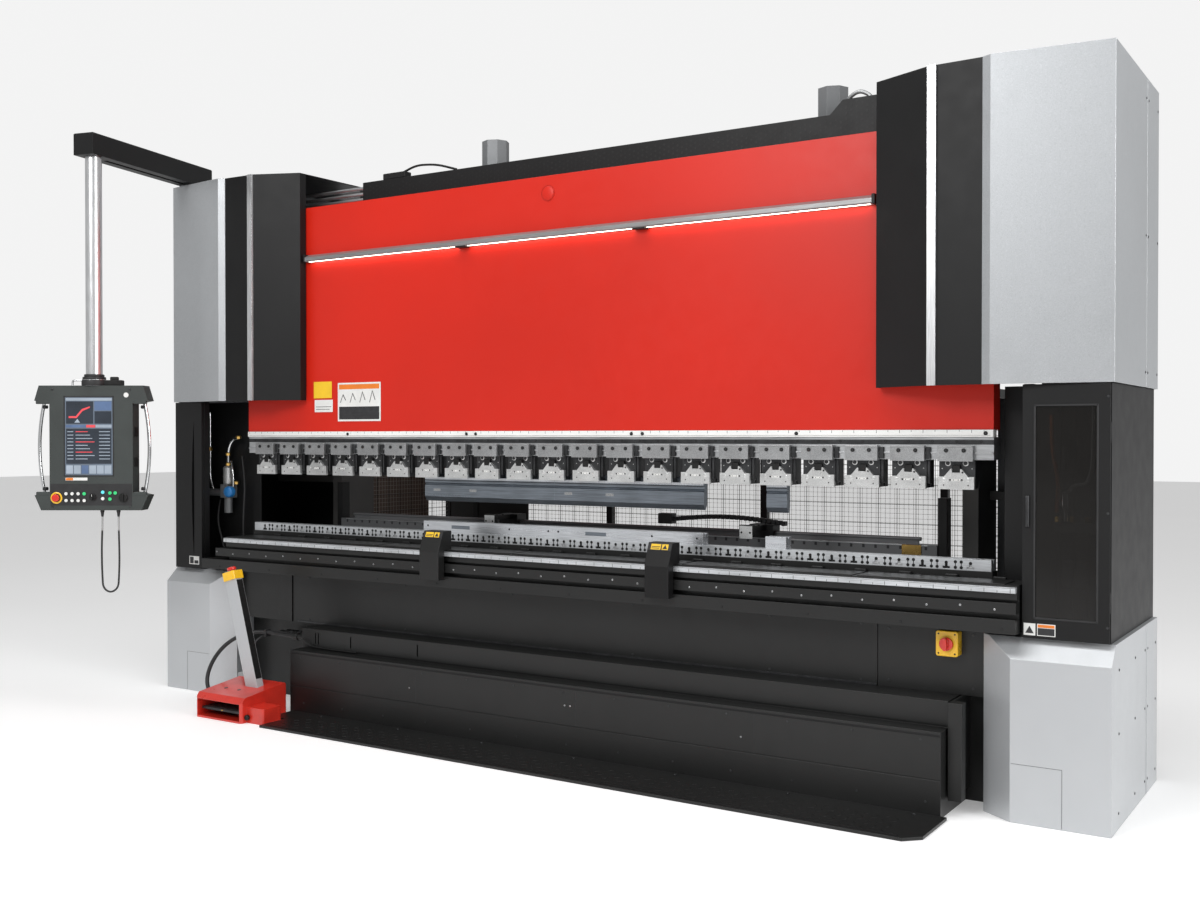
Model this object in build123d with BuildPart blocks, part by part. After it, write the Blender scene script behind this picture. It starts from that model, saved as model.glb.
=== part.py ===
from build123d import *
from math import cos, pi, radians, sin, tan
import os

os.makedirs("parts", exist_ok=True)

# Hydraulic press brake: two C-shaped side frames carry a fixed table and a ram that comes
# down on it. +X is right, +Y is back, +Z is up. The origin is on the floor, under the middle
# of the bending line. All sizes are in millimetres.

# ---- driving dimensions -------------------------------------------------------------------
# working size
bend_length = 4300            # length of the ram and of the bending line
frame_inset = 270             # ram's end in to the side frame's inner face
table_height = 978            # floor to the top of the die rail
open_height = 404             # die rail top to clamp rail underside, ram at rest
ram_height = 1252             # height of the red ram plate
throat_depth = 420            # bending line to the back of the side frame's throat

# side frames and table
frame_thickness = 70
frame_depth = 700             # bending line to the frames' back edge
ground_gap = 60               # side frames stand this far off the floor, on their feet
beam_half = 35                # half thickness of the table's main plate
beam_end_gap = 10             # ram's end in to the table plate's end
foot_plate_x = 240
foot_plate_y = 150
foot_plate_height = 25
foot_stem_radius = 32
anchor_offset = 80            # foot stem to anchor bolt hole
anchor_radius = 13
throat_drop = 128             # die rail top down to the throat's lower edge
jaw_reach = 44                # upper jaw reaches this far below the ram's underside
throat_fillet = 80
guide_plane = 90              # bending line to the front edge of the frames' upper jaws
frame_top_drop = 156          # ram top down to the frames' top edge

# ram and its drive
ram_front = 60                # ram face, in front of the bending line
ram_back = 30
shoulder_rise = 346           # ram's ends stop this far above its underside
crown_inset = 445             # ram's upper part ends this far in from the ram's end
scale_bar_height = 29
clamp_rail_height = 93
clamp_rail_front = 55
guide_width = 40
guide_depth = 28
guide_clearance = 0.5
cylinder_rise = 170           # ram shoulder up to the cylinder's underside
cylinder_height = 500
cylinder_half = 130           # half of the cylinder block's width
cylinder_front = 110
bore_radius = 90
rod_radius = 60
rod_clearance = 0.3
piston_rise = 345             # ram shoulder up to the piston's underside
piston_height = 80

# tool holders and tools
holder_pitch = 200
holder_width = 148
holder_end_gap = 150          # ram's end to the centre of the last holder, at least
holder_height = 117
holder_front = 50
clamp_thickness = 16
clamp_gap = 0.3               # between a holder's body and its front clamp
tang_half = 7                 # half thickness of the punch tang and of its slot
tool_length = 835             # a full punch or die segment
short_tool_length = 100
tool_joint = -16              # X of the joint between the two full segments
short_tool_centre = 1184
punch_height = 127
die_height = 54
die_half = 27
die_tang_half = 6
die_rail_height = 46
die_rail_half = 30
rail_clamp_pitch = 100

# sheet covers
cover_wall = 5
cover_overhang = 483          # ram's end out to the upper cover's outer side
upper_cover_drop = 1077       # ram top down to the upper covers' lower edge
upper_cover_rise = 190        # ram top up to the upper covers' top
lower_cover_drop = 276        # die rail top down to the lower covers' top
cover_back = 705              # bending line to the covers' back edge
cover_front = 250             # bending line to the covers' foremost edge
cover_rake = 49               # the upper cover's front runs back by this much to its outer side
fairing_inner = 473           # ram's end in to the fairing's inner side
strip_inner = 219             # ram's end in to the bright trim strip
strip_outer = 183
cover_ram_gap = 6             # fairing's edge to the ram's face
middle_inset = 14             # upper cover's side in to the middle guard's side
door_gap = 3

# front of the table
table_front = 120             # bending line to the front plates
ledge_front = 270
box_front = 360
floor_plate_front = 700
box_left_inset = 650          # ram's left end in to the lower box's left end
box_right_inset = 115
rail_front = 262              # bending line to the sheet support rail's face
support_width = 123
support_places = {"left": -578, "right": 736}
slide_gap = 0.5

# back gauge and rear guard
gauge_rest = 370              # bending line to the gauge beam's middle, at rest
gauge_beam_half = 40
gauge_beam_rise = 17          # die rail top up to the gauge beam's top
gauge_rail_end = 960
finger_places = {"left": -550, "right": 950}
guard_back = 1480
guard_height = 1700
guard_post_pitch = 1045
guard_post_shift = -97
guard_wire_pitch = 105

# control pendant and foot switch
pendant_facing = 32.8         # degrees that the panel is turned to the operator's right
arm_turn = -76.1              # degrees from +X to the arm, seen from above
arm_reach = 867
arm_width = 124
arm_height = 115
pivot_inset = 73              # upper cover's outer side in to the arm's pivot
pivot_back = -100
case_width = 440
case_height = 660
case_depth = 95
ear_width = 600
post_radius = 42
pendant_cord_diameter = 10
foot_cable_diameter = 22
switch_cable_diameter = 14
swing_gap = 0.5
pin_clearance = 0.1

# ---- places worked out from them ----------------------------------------------------------
half_bend = bend_length / 2
half_frames = half_bend - frame_inset
frame_outer = half_frames + frame_thickness
frame_middle = half_frames + frame_thickness / 2
half_beam = half_bend - beam_end_gap
clamp_rail_bottom = table_height + open_height
scale_bar_bottom = clamp_rail_bottom + clamp_rail_height
ram_bottom = scale_bar_bottom + scale_bar_height
ram_top = ram_bottom + ram_height
ram_shoulder = ram_bottom + shoulder_rise
crown_half = half_bend - crown_inset
frame_top = ram_top - frame_top_drop
upper_bottom = ram_top - upper_cover_drop
upper_top = ram_top + upper_cover_rise
lower_top = table_height - lower_cover_drop
cover_half = half_bend + cover_overhang
middle_half = cover_half - middle_inset
holder_bottom = clamp_rail_bottom - holder_height
sides = {"left": -1, "right": 1}


def block(x_span, y_span, z_span, mode=Mode.ADD):
    """Add or cut a rectangular block that fills the three spans."""
    spans = [sorted(span) for span in (x_span, y_span, z_span)]
    lengths = [high - low for low, high in spans]
    middle = tuple((high + low) / 2 for low, high in spans)
    with Locations(middle):
        Box(*lengths, mode=mode)


# ---- side frames --------------------------------------------------------------------------
throat_bottom = table_height - throat_drop
throat_top = ram_bottom - jaw_reach
throat_outline = [
    (beam_half, ground_gap), (beam_half, throat_bottom), (throat_depth, throat_bottom),
    (throat_depth, throat_top), (guide_plane, throat_top), (guide_plane, frame_top),
    (frame_depth, frame_top), (frame_depth, ground_gap),
]
bracket_width = 40
bracket_levels = [lower_top / 2, (lower_top + upper_bottom) / 2, (upper_bottom + frame_top) / 2]
for side, sign in sides.items():
    with BuildPart() as side_frame:
        with BuildSketch(Plane.YZ.offset(min(sign * half_frames, sign * frame_outer))):
            Polygon(*throat_outline, align=None)
        extrude(amount=frame_thickness)
        throat_back = side_frame.edges().filter_by(Axis.X).filter_by_position(
            Axis.Y, throat_depth - 1, throat_depth + 1)
        fillet(throat_back, radius=throat_fillet)
        with Locations((sign * frame_middle, frame_depth - 150, frame_top - 130)):
            Cylinder(45, frame_thickness, rotation=(0, 90, 0), mode=Mode.SUBTRACT)
        for level, reach in zip(bracket_levels, (4, -middle_inset, 0)):
            cover_inside = cover_half + reach - cover_wall
            block((sign * frame_outer, sign * cover_inside),
                  (frame_depth - 100, frame_depth - 100 + bracket_width),
                  (level, level + bracket_width))
    side_frame.part.label = f"{side}_side_frame"
    export_step(side_frame.part, f"parts/{side}_side_frame.step")

# ---- cross beams --------------------------------------------------------------------------
tank_bottom = frame_top + 20
cross_beam_depth = 130
with BuildPart() as cross_beams:
    block((-half_frames, half_frames), (throat_depth + 10, throat_depth + 10 + cross_beam_depth),
          (frame_top - 300, tank_bottom))
    block((-half_frames, half_frames), (frame_depth - cross_beam_depth, frame_depth),
          (ground_gap, ground_gap + 300))
cross_beams.part.label = "cross_beams"
export_step(cross_beams.part, "parts/cross_beams.step")

# ---- table plate --------------------------------------------------------------------------
die_rail_bottom = table_height - die_rail_height
with BuildPart() as lower_beam:
    block((-half_beam, half_beam), (-beam_half, beam_half), (0, die_rail_bottom))
lower_beam.part.label = "lower_beam"
export_step(lower_beam.part, "parts/lower_beam.step")

# ---- levelling feet -----------------------------------------------------------------------
foot_front = 110
foot_back = 630
with BuildPart() as levelling_feet:
    for sign in sides.values():
        for foot_y in (foot_front, foot_back):
            foot_x = sign * frame_middle
            with Locations((foot_x, foot_y, foot_plate_height / 2)):
                Box(foot_plate_x, foot_plate_y, foot_plate_height)
            with Locations((foot_x, foot_y, (foot_plate_height + ground_gap) / 2)):
                Cylinder(foot_stem_radius, ground_gap - foot_plate_height)
            with Locations((foot_x + sign * anchor_offset, foot_y, foot_plate_height / 2)):
                Cylinder(anchor_radius, foot_plate_height, mode=Mode.SUBTRACT)
levelling_feet.part.label = "levelling_feet"
export_step(levelling_feet.part, "parts/levelling_feet.step")

# ---- die rail -----------------------------------------------------------------------------
groove_depth = 14
rail_clamp_count = int((bend_length - 60) / rail_clamp_pitch)
half_rail = half_bend - 16
with BuildPart() as die_rail:
    block((-half_rail, half_rail), (-die_rail_half, die_rail_half),
          (die_rail_bottom, table_height))
    block((-half_rail, half_rail), (-die_tang_half, die_tang_half),
          (table_height - groove_depth, table_height), mode=Mode.SUBTRACT)
    with BuildSketch(Plane.XZ.offset(die_rail_half)):
        with Locations((0, die_rail_bottom)):
            with GridLocations(rail_clamp_pitch, 1, rail_clamp_count, 1):
                with Locations((0, 4)):
                    Rectangle(30, 10, align=(Align.CENTER, Align.MIN))
                with Locations((0, 14)):
                    Rectangle(12, 12, align=(Align.CENTER, Align.MIN))
    extrude(amount=-6, mode=Mode.SUBTRACT)
die_rail.part.label = "die_rail"
export_step(die_rail.part, "parts/die_rail.step")

# ---- dies ---------------------------------------------------------------------------------
die_top = table_height + die_height
vee_half = 10
die_outline = [
    (-die_tang_half, table_height - 12), (-die_tang_half, table_height),
    (-die_half, table_height), (-die_half, die_top), (-vee_half, die_top), (0, die_top - vee_half),
    (vee_half, die_top), (die_half, die_top), (die_half, table_height),
    (die_tang_half, table_height), (die_tang_half, table_height - 12),
]
tool_spans = [
    (tool_joint - tool_length, tool_length), (tool_joint, tool_length),
    (short_tool_centre - short_tool_length / 2, short_tool_length),
]
dies = []
for start, length in tool_spans:
    with BuildPart() as die:
        with BuildSketch(Plane.YZ.offset(start)):
            Polygon(*die_outline, align=None)
        extrude(amount=length)
    dies.append(die.part)
die_set = Compound(children=dies)
die_set.label = "dies"
export_step(die_set, "parts/dies.step")

# ---- front plates of the table ------------------------------------------------------------
panel_top = lower_top + 13
panel_bottom = lower_top - 261
panel_wall = 8
post_span = (-half_bend + 317, -half_bend + 419)
main_end = half_bend - 460
panel_spans = [
    (-half_beam + 5, post_span[0] - 3), post_span, (post_span[1] + 3, main_end),
    (main_end + 3, half_bend - 18),
]
with BuildPart() as table_front_plates:
    for number, (start, end) in enumerate(panel_spans):
        front = table_front + (6 if number == 1 else 0)
        block((start, end), (-front, -front + panel_wall), (panel_bottom, panel_top))
        for rib in (start, (start + end - panel_wall) / 2, end - panel_wall):
            block((rib, rib + panel_wall), (-front + panel_wall, -beam_half),
                  (panel_bottom, panel_top))
table_front_plates.part.label = "table_front_plates"
export_step(table_front_plates.part, "parts/table_front_plates.step")

# ---- sheet support rail on its stepped carrier ----------------------------------------------
carrier_right = half_bend + 140
carrier_top = table_height - 73
rail_height = 22
with BuildPart() as rail_carrier:
    block((-half_beam, carrier_right), (-rail_front + 47, -beam_half), (panel_top + 5, carrier_top))
    block((-half_beam, carrier_right), (-rail_front + 22, -rail_front + 47),
          (carrier_top - 55, carrier_top))
    block((-half_bend - 60, carrier_right), (-rail_front + 7, -beam_half),
          (carrier_top - 109, carrier_top - 65))
    block((-half_bend - 169, carrier_right), (-rail_front, -beam_half),
          (panel_top + 5, carrier_top - 129))
rail_carrier.part.label = "rail_carrier"
export_step(rail_carrier.part, "parts/rail_carrier.step")

rail_top = carrier_top - 5
with BuildPart() as support_rail:
    block((-half_beam + 5, carrier_right), (-rail_front, -rail_front + 22),
          (rail_top - rail_height, rail_top))
support_rail.part.label = "support_rail"
export_step(support_rail.part, "parts/support_rail.step")

support_front = rail_front + 48
support_top = table_height + 25
support_bottom = table_height - 218
support_back = rail_front - 57
support_outline = [
    (-support_front, support_bottom), (-support_front, rail_top),
    (-rail_front - 6, support_top), (-support_back, support_top),
    (-support_back, carrier_top + slide_gap), (-rail_front - slide_gap, carrier_top + slide_gap),
    (-rail_front - slide_gap, support_bottom),
]
for side, middle in support_places.items():
    with BuildPart() as sheet_support:
        with BuildSketch(Plane.YZ.offset(middle - support_width / 2)):
            Polygon(*support_outline, align=None)
        extrude(amount=support_width)
        front_edges = sheet_support.edges().filter_by(Axis.Z).sort_by(Axis.Y)[0:2]
        fillet(front_edges, radius=6)
    sheet_support.part.label = f"{side}_sheet_support"
    export_step(sheet_support.part, f"parts/{side}_sheet_support.step")

# ---- lower box and floor plate --------------------------------------------------------------
box_left = -half_bend + box_left_inset
box_right = half_bend - box_right_inset
ledge_drop = 96
groove = 10
box_outline = [
    (-beam_half, panel_bottom), (-ledge_front, panel_bottom),
    (-ledge_front, panel_bottom - ledge_drop), (-ledge_front + 8, panel_bottom - ledge_drop),
    (-ledge_front + 8, panel_bottom - ledge_drop - groove),
    (-box_front, panel_bottom - ledge_drop - groove), (-box_front, 0), (-beam_half, 0),
]
slot_places = [box_left + 93, box_left + 115, box_left + 350, box_left + 810]
with BuildPart() as lower_front_box:
    with BuildSketch(Plane.YZ.offset(box_left)):
        Polygon(*box_outline, align=None)
    extrude(amount=box_right - box_left)
    open_sides = [
        lower_front_box.faces().sort_by(Axis.Y)[-1], lower_front_box.faces().sort_by(Axis.Z)[0]]
    offset(amount=-cover_wall, openings=open_sides)
    for place in slot_places:
        block((place, place + 8), (-ledge_front - 1, -ledge_front + cover_wall + 1),
              (panel_bottom - 80, panel_bottom - 20), mode=Mode.SUBTRACT)
    block((box_left, box_right), (-box_front, -box_front + 2), (145, 149), mode=Mode.SUBTRACT)
    block((box_right + 9, box_right + 63), (-ledge_front - 30, -ledge_front + 20),
          (ground_gap, panel_bottom))
    block((box_right + 9, box_right + 19), (-ledge_front + 20, -beam_half),
          (ground_gap, panel_bottom))
gland_y, gland_z = -200, panel_bottom - 66
switch_gland_y = -150
gland_steps = ((0, 50, 1.0), (50, 100, 0.8), (100, 140, 1.0))
glands = []
for place_y, radius in ((gland_y, 20), (switch_gland_y, 15)):
    with BuildPart() as gland:
        for near, far, scale in gland_steps:
            with Locations((box_left - (near + far) / 2, place_y, gland_z)):
                Cylinder(radius * scale, far - near, rotation=(0, 90, 0))
    glands.append(gland.part)
lower_box_set = Compound(children=[*lower_front_box.part.solids(), *glands])
lower_box_set.label = "lower_front_box"
export_step(lower_box_set, "parts/lower_front_box.step")

plate_left = -half_bend + 785
plate_tongue_left = -half_bend + 670
plate_thickness = 12
plate_right = half_bend - 90
with BuildPart() as floor_plate:
    block((plate_left, plate_right), (-floor_plate_front, -box_front), (0, plate_thickness))
    block((plate_tongue_left, plate_left), (-box_front - 160, -box_front), (0, plate_thickness))
    outer_corner = floor_plate.edges().filter_by(Axis.Z).group_by(Axis.Y)[0].sort_by(Axis.X)[-1]
    chamfer(outer_corner, length=60)
floor_plate.part.label = "floor_plate"
export_step(floor_plate.part, "parts/floor_plate.step")

# ---- isolator switch ------------------------------------------------------------------------
isolator_x = half_bend - 153
isolator_z = lower_top - 53
isolator_half = 45
isolator_front = table_front + 50
knob_shaft_radius = 6
with BuildPart() as isolator_box:
    block((isolator_x - isolator_half, isolator_x + isolator_half),
          (-isolator_front, -table_front),
          (isolator_z - isolator_half - 6, isolator_z + isolator_half + 6))
    fillet(isolator_box.edges().filter_by(Axis.Y), radius=10)
    fillet(isolator_box.faces().sort_by(Axis.Y)[0].edges(), radius=4)
    with Locations((isolator_x, -isolator_front, isolator_z)):
        Cylinder(knob_shaft_radius + pin_clearance, 40, rotation=(90, 0, 0), mode=Mode.SUBTRACT)
isolator_box.part.label = "isolator_box"
export_step(isolator_box.part, "parts/isolator_box.step")

with BuildPart() as isolator_knob:
    with BuildSketch(Plane.XZ.offset(isolator_front + swing_gap)):
        with Locations((isolator_x, isolator_z)):
            Circle(27)
    extrude(amount=12)
    with BuildSketch(Plane.XZ.offset(isolator_front + swing_gap + 12)):
        with Locations((isolator_x, isolator_z)):
            SlotOverall(50, 15, rotation=90)
    extrude(amount=20)
    with BuildSketch(Plane.XZ.offset(isolator_front - 15)):
        with Locations((isolator_x, isolator_z)):
            Circle(knob_shaft_radius)
    extrude(amount=16)
isolator_knob.part.label = "isolator_knob"
export_step(isolator_knob.part, "parts/isolator_knob.step")

# ---- lower covers -----------------------------------------------------------------------------
lower_half = cover_half + 4
facet_edge = half_bend + 118
facet_depth = 90
seam_y = 440                  # the joint in the covers' outer sides
seam_strip = 3                # how far the lower covers' joint strip stands proud
for side, sign in sides.items():
    cover_outline = [
        (sign * (half_bend - 8), -cover_front + facet_depth), (sign * facet_edge, -cover_front),
        (sign * lower_half, -cover_front), (sign * lower_half, cover_back - 9),
        (sign * (half_bend - 8), cover_back - 9),
    ]
    with BuildPart() as lower_cover:
        with BuildSketch():
            Polygon(*cover_outline, align=None)
        extrude(amount=lower_top)
        top_edges = lower_cover.faces().sort_by(Axis.Z)[-1].edges()
        front_edge = top_edges.sort_by(Axis.Y)[0]
        chamfer(front_edge, length=75)
        openings = [lower_cover.faces().sort_by(Axis.Z)[0],
                    lower_cover.faces().sort_by(Axis.X)[0 if sign > 0 else -1]]
        offset(amount=-cover_wall, openings=openings)
        block((sign * (lower_half - 1), sign * (lower_half + seam_strip)), (seam_y, seam_y + 10),
              (5, lower_top - 10))
    lower_cover.part.label = f"{side}_lower_cover"
    export_step(lower_cover.part, f"parts/{side}_lower_cover.step")

# ---- upper covers, fairings and trim -----------------------------------------------------------
panel_edge = half_bend + 1
pivot_x = -(cover_half - pivot_inset)
boss_height = 12
pivot_radius = 30
for side, sign in sides.items():
    cover_outline = [
        (sign * panel_edge, -cover_front + 18), (sign * (panel_edge + 36), -cover_front),
        (sign * cover_half, -cover_front + cover_rake), (sign * cover_half, cover_back),
        (sign * panel_edge, cover_back),
    ]
    with BuildPart() as upper_cover:
        with BuildSketch(Plane.XY.offset(upper_bottom)):
            Polygon(*cover_outline, align=None)
        extrude(amount=upper_top - upper_bottom)
        openings = [upper_cover.faces().sort_by(Axis.Z)[0],
                    upper_cover.faces().sort_by(Axis.X)[0 if sign > 0 else -1]]
        offset(amount=-cover_wall, openings=openings)
        block((sign * (cover_half - 2), sign * cover_half), (seam_y, seam_y + 4),
              (upper_bottom, upper_top), mode=Mode.SUBTRACT)
        if side == "left":
            with Locations((pivot_x, pivot_back, upper_top + boss_height / 2)):
                Cylinder(90, boss_height)
            pin_height = boss_height + arm_height - 20
            with Locations((pivot_x, pivot_back, upper_top + pin_height / 2)):
                Cylinder(pivot_radius, pin_height)
    upper_cover.part.label = f"{side}_upper_cover"
    export_step(upper_cover.part, f"parts/{side}_upper_cover.step")

fairing_nose = cover_front - 22
fairing_turn = 8              # the fairing's face runs back by this much to the trim strip
fairings = []
for sign in sides.values():
    inner = sign * (half_bend - fairing_inner)
    fairing_outline = [
        (sign * panel_edge, -fairing_nose),
        (sign * (half_bend - strip_inner), -fairing_nose + fairing_turn),
        (inner, -fairing_nose + 118), (inner, cover_back), (sign * panel_edge, cover_back),
    ]
    with BuildPart() as fairing:
        with BuildSketch(Plane.XY.offset(upper_bottom)):
            Polygon(*fairing_outline, align=None)
        extrude(amount=upper_top - upper_bottom)
        openings = [fairing.faces().sort_by(Axis.Z)[0], fairing.faces().sort_by(Axis.Y)[-1],
                    fairing.faces().sort_by(Axis.X)[-1 if sign > 0 else 0]]
        offset(amount=-cover_wall, openings=openings)
        block((inner - 20, inner + 20), (-ram_front - cover_ram_gap, cover_back),
              (upper_bottom, upper_top - cover_wall), mode=Mode.SUBTRACT)
    fairings.append(fairing.part)
fairing_set = Compound(children=fairings)
fairing_set.label = "fairings"
export_step(fairing_set, "parts/fairings.step")

strips = []
strip_near = half_bend - strip_inner + 1
strip_far = half_bend - strip_outer
face_slope = fairing_turn / (panel_edge - (half_bend - strip_inner))
for sign in sides.values():
    strip_outline = [
        (sign * reach, -fairing_nose + face_slope * (panel_edge - reach))
        for reach in (strip_near, strip_far)
    ]
    strip_outline += [(sign * strip_far, -fairing_nose - 5), (sign * strip_near, -fairing_nose - 5)]
    with BuildPart() as strip:
        with BuildSketch(Plane.XY.offset(upper_bottom)):
            Polygon(*strip_outline, align=None)
        extrude(amount=upper_top - upper_bottom)
    strips.append(strip.part)
strip_set = Compound(children=strips)
strip_set.label = "trim_strips"
export_step(strip_set, "parts/trim_strips.step")

# ---- middle guards and their doors -------------------------------------------------------------
door_front = cover_front - 49
door_edges = {"left": half_bend + 242, "right": half_bend + 149}
hinge_x = middle_half - 7
hinge_y = -door_front + 13
hinge_levels = [lower_top + 140, upper_bottom - 200]
pin_radius = 4
knuckle_height = 50
window_bottom = lower_top + 78
window_top = upper_bottom - 81
window_span = (half_bend + 192, half_bend + 426)
for side, sign in sides.items():
    free_edge = door_edges[side]
    with BuildPart() as middle_guard:
        block((sign * (middle_half - cover_wall), sign * middle_half),
              (-door_front + 25, cover_back - 5), (lower_top, upper_bottom))
        block((sign * (half_bend + 15), sign * middle_half), (cover_back - 10, cover_back - 5),
              (lower_top, upper_bottom))
        block((sign * (half_bend + 15), sign * middle_half), (45, 50), (lower_top, upper_bottom))
        block((sign * free_edge, sign * (free_edge + 35)), (-door_front + 23, -door_front + 58),
              (lower_top, upper_bottom))
        for level in hinge_levels:
            block((sign * (hinge_x - 8), sign * (middle_half - 2)), (hinge_y - 6, hinge_y + 20),
                  (level - 25, level))
            with Locations((sign * hinge_x, hinge_y, level + knuckle_height / 2 - 5)):
                Cylinder(pin_radius, knuckle_height + 10)
    middle_guard.part.label = f"{side}_middle_guard"
    export_step(middle_guard.part, f"parts/{side}_middle_guard.step")

    door_bottom = lower_top + door_gap
    door_top = upper_bottom - door_gap
    with BuildPart() as guard_door:
        block((sign * free_edge, sign * middle_half), (-door_front, -door_front + cover_wall),
              (door_bottom, door_top))
        block((sign * free_edge, sign * (free_edge + cover_wall)), (-door_front, -door_front + 20),
              (door_bottom, door_top))
        for edge in (door_bottom, door_top - cover_wall):
            block((sign * free_edge, sign * (middle_half - 40)), (-door_front, -door_front + 20),
                  (edge, edge + cover_wall))
        for level in hinge_levels:
            with Locations((sign * hinge_x, hinge_y, level + 1 + knuckle_height / 2)):
                Cylinder(8, knuckle_height)
            block((sign * (hinge_x - 8), sign * hinge_x), (-door_front, hinge_y),
                  (level + 1, level + 1 + knuckle_height))
            with Locations((sign * hinge_x, hinge_y, level + 1 + knuckle_height / 2)):
                Cylinder(pin_radius + pin_clearance, knuckle_height, mode=Mode.SUBTRACT)
        if side == "right":
            block(window_span, (-door_front - 1, -door_front + cover_wall + 1),
                  (window_bottom, window_top), mode=Mode.SUBTRACT)
        else:
            grip_x = -(free_edge + 66)
            grip_low, grip_high = lower_top + 52, upper_bottom - 105
            grip_middle = (grip_low + grip_high) / 2
            with BuildSketch(Plane.XZ.offset(door_front + 1)):
                with BuildLine():
                    ThreePointArc((grip_x, grip_low), (grip_x - 20, grip_middle),
                                  (grip_x, grip_high))
                    ThreePointArc((grip_x, grip_high), (grip_x + 3, grip_middle),
                                  (grip_x, grip_low))
                make_face()
            extrude(amount=-cover_wall - 2, mode=Mode.SUBTRACT)
    guard_door.part.label = f"{side}_guard_door"
    export_step(guard_door.part, f"parts/{side}_guard_door.step")

window_lap = 8
with BuildPart() as door_window:
    block((window_span[0] - window_lap, window_span[1] + window_lap),
          (-door_front + cover_wall, -door_front + cover_wall + 4),
          (window_bottom - window_lap, window_top + window_lap))
door_window.part.label = "door_window"
export_step(door_window.part, "parts/door_window.step")

# ---- air preparation unit and valve bracket inside the guards ----------------------------------
unit_back = 45
unit_x = half_bend + 250
unit_z = lower_top + 440
air_parts = []
with BuildPart() as air_unit:
    block((-unit_x - 30, -unit_x + 30), (unit_back - 75, unit_back), (unit_z - 30, unit_z + 50))
    with Locations((-unit_x, unit_back - 40, unit_z - 75)):
        Cylinder(24, 90)
    with Locations((-unit_x, unit_back - 40, unit_z + 75)):
        Cylinder(18, 50)
    with Locations((-unit_x - 95, unit_back - 40, unit_z)):
        Cylinder(22, 130, rotation=(0, 90, 0))
air_parts.append(air_unit.part)
with BuildPart() as valve_bracket:
    block((unit_x - 10, unit_x + 160), (unit_back - 60, unit_back), (unit_z - 45, unit_z))
    for spot in (unit_x + 20, unit_x + 70, unit_x + 120):
        with Locations((spot, unit_back - 30, unit_z + 22)):
            Cylinder(12, 44)
air_parts.append(valve_bracket.part)
air_set = Compound(children=air_parts)
air_set.label = "air_units"
export_step(air_set, "parts/air_units.step")

# ---- hydraulic cylinders and piston rods -------------------------------------------------------
cylinder_bottom = ram_shoulder + cylinder_rise
cylinder_top = cylinder_bottom + cylinder_height
cylinder_y = (guide_plane - cylinder_front) / 2
gland_height = 60
cylinders = []
rods = []
for sign in sides.values():
    cylinder_x = sign * frame_middle
    with BuildPart() as cylinder:
        block((cylinder_x - cylinder_half, cylinder_x + cylinder_half),
              (-cylinder_front, guide_plane), (cylinder_bottom, cylinder_top))
        block((cylinder_x - 80, cylinder_x + 80), (-90, 70), (cylinder_top, cylinder_top + 120))
        with BuildSketch(Plane.XY.offset(cylinder_bottom)):
            with Locations((cylinder_x, cylinder_y)):
                Circle(rod_radius + rod_clearance)
        extrude(amount=gland_height, mode=Mode.SUBTRACT)
        with BuildSketch(Plane.XY.offset(cylinder_bottom + gland_height)):
            with Locations((cylinder_x, cylinder_y)):
                Circle(bore_radius)
        extrude(amount=cylinder_height - 2 * gland_height, mode=Mode.SUBTRACT)
    cylinders.append(cylinder.part)
    with BuildPart() as piston_rod:
        for radius, low, high in (
            (rod_radius + 8, 0, 25), (rod_radius, 25, piston_rise),
            (bore_radius - rod_clearance, piston_rise, piston_rise + piston_height),
        ):
            with BuildSketch(Plane.XY.offset(ram_shoulder + low)):
                with Locations((cylinder_x, cylinder_y)):
                    Circle(radius)
            extrude(amount=high - low)
    rods.append(piston_rod.part)
cylinder_set = Compound(children=cylinders)
cylinder_set.label = "hydraulic_cylinders"
export_step(cylinder_set, "parts/hydraulic_cylinders.step")
rod_set = Compound(children=rods)
rod_set.label = "piston_rods"
export_step(rod_set, "parts/piston_rods.step")

# ---- oil tank, breathers and the perforated guard in front of them -----------------------------
tank_half = crown_half - 255
tank_front = 130
tank_top = ram_top + 124
pump_radius = 105
with BuildPart() as oil_tank:
    block((-tank_half, tank_half), (tank_front, throat_depth + 10 + cross_beam_depth),
          (tank_bottom, tank_top))
    for pump_x in (-tank_half + 450, tank_half - 450):
        with Locations((pump_x, tank_front + 150, tank_bottom - 150)):
            Cylinder(pump_radius, 300)

breather_height = 158
with BuildPart() as breather_caps:
    with BuildSketch(Plane.XY.offset(tank_top)):
        with Locations((-tank_half + 894, tank_front + 85), (tank_half - 99, tank_front + 85)):
            RegularPolygon(72, 8)
    extrude(amount=breather_height)
oil_tank_set = Compound(children=[oil_tank.part, *breather_caps.part.solids()])
oil_tank_set.label = "oil_tank"
export_step(oil_tank_set, "parts/oil_tank.step")

guard_face = 60
guard_step = tank_half - 50
guard_outline = [
    (-tank_half + 88, ram_top - 6), (crown_half - 40, ram_top - 6), (crown_half - 40, upper_top - 3),
    (guard_step + 60, upper_top - 3), (guard_step, tank_top + 4), (-tank_half + 88, tank_top + 4),
]
with BuildPart() as top_guard:
    with BuildSketch(Plane.XZ.offset(-guard_face - 3)):
        Polygon(*guard_outline, align=None)
    extrude(amount=3)
    block((-tank_half + 88, guard_step), (guard_face, tank_front + 8), (tank_top, tank_top + 4))
top_guard.part.label = "top_guard"
export_step(top_guard.part, "parts/top_guard.step")

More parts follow.
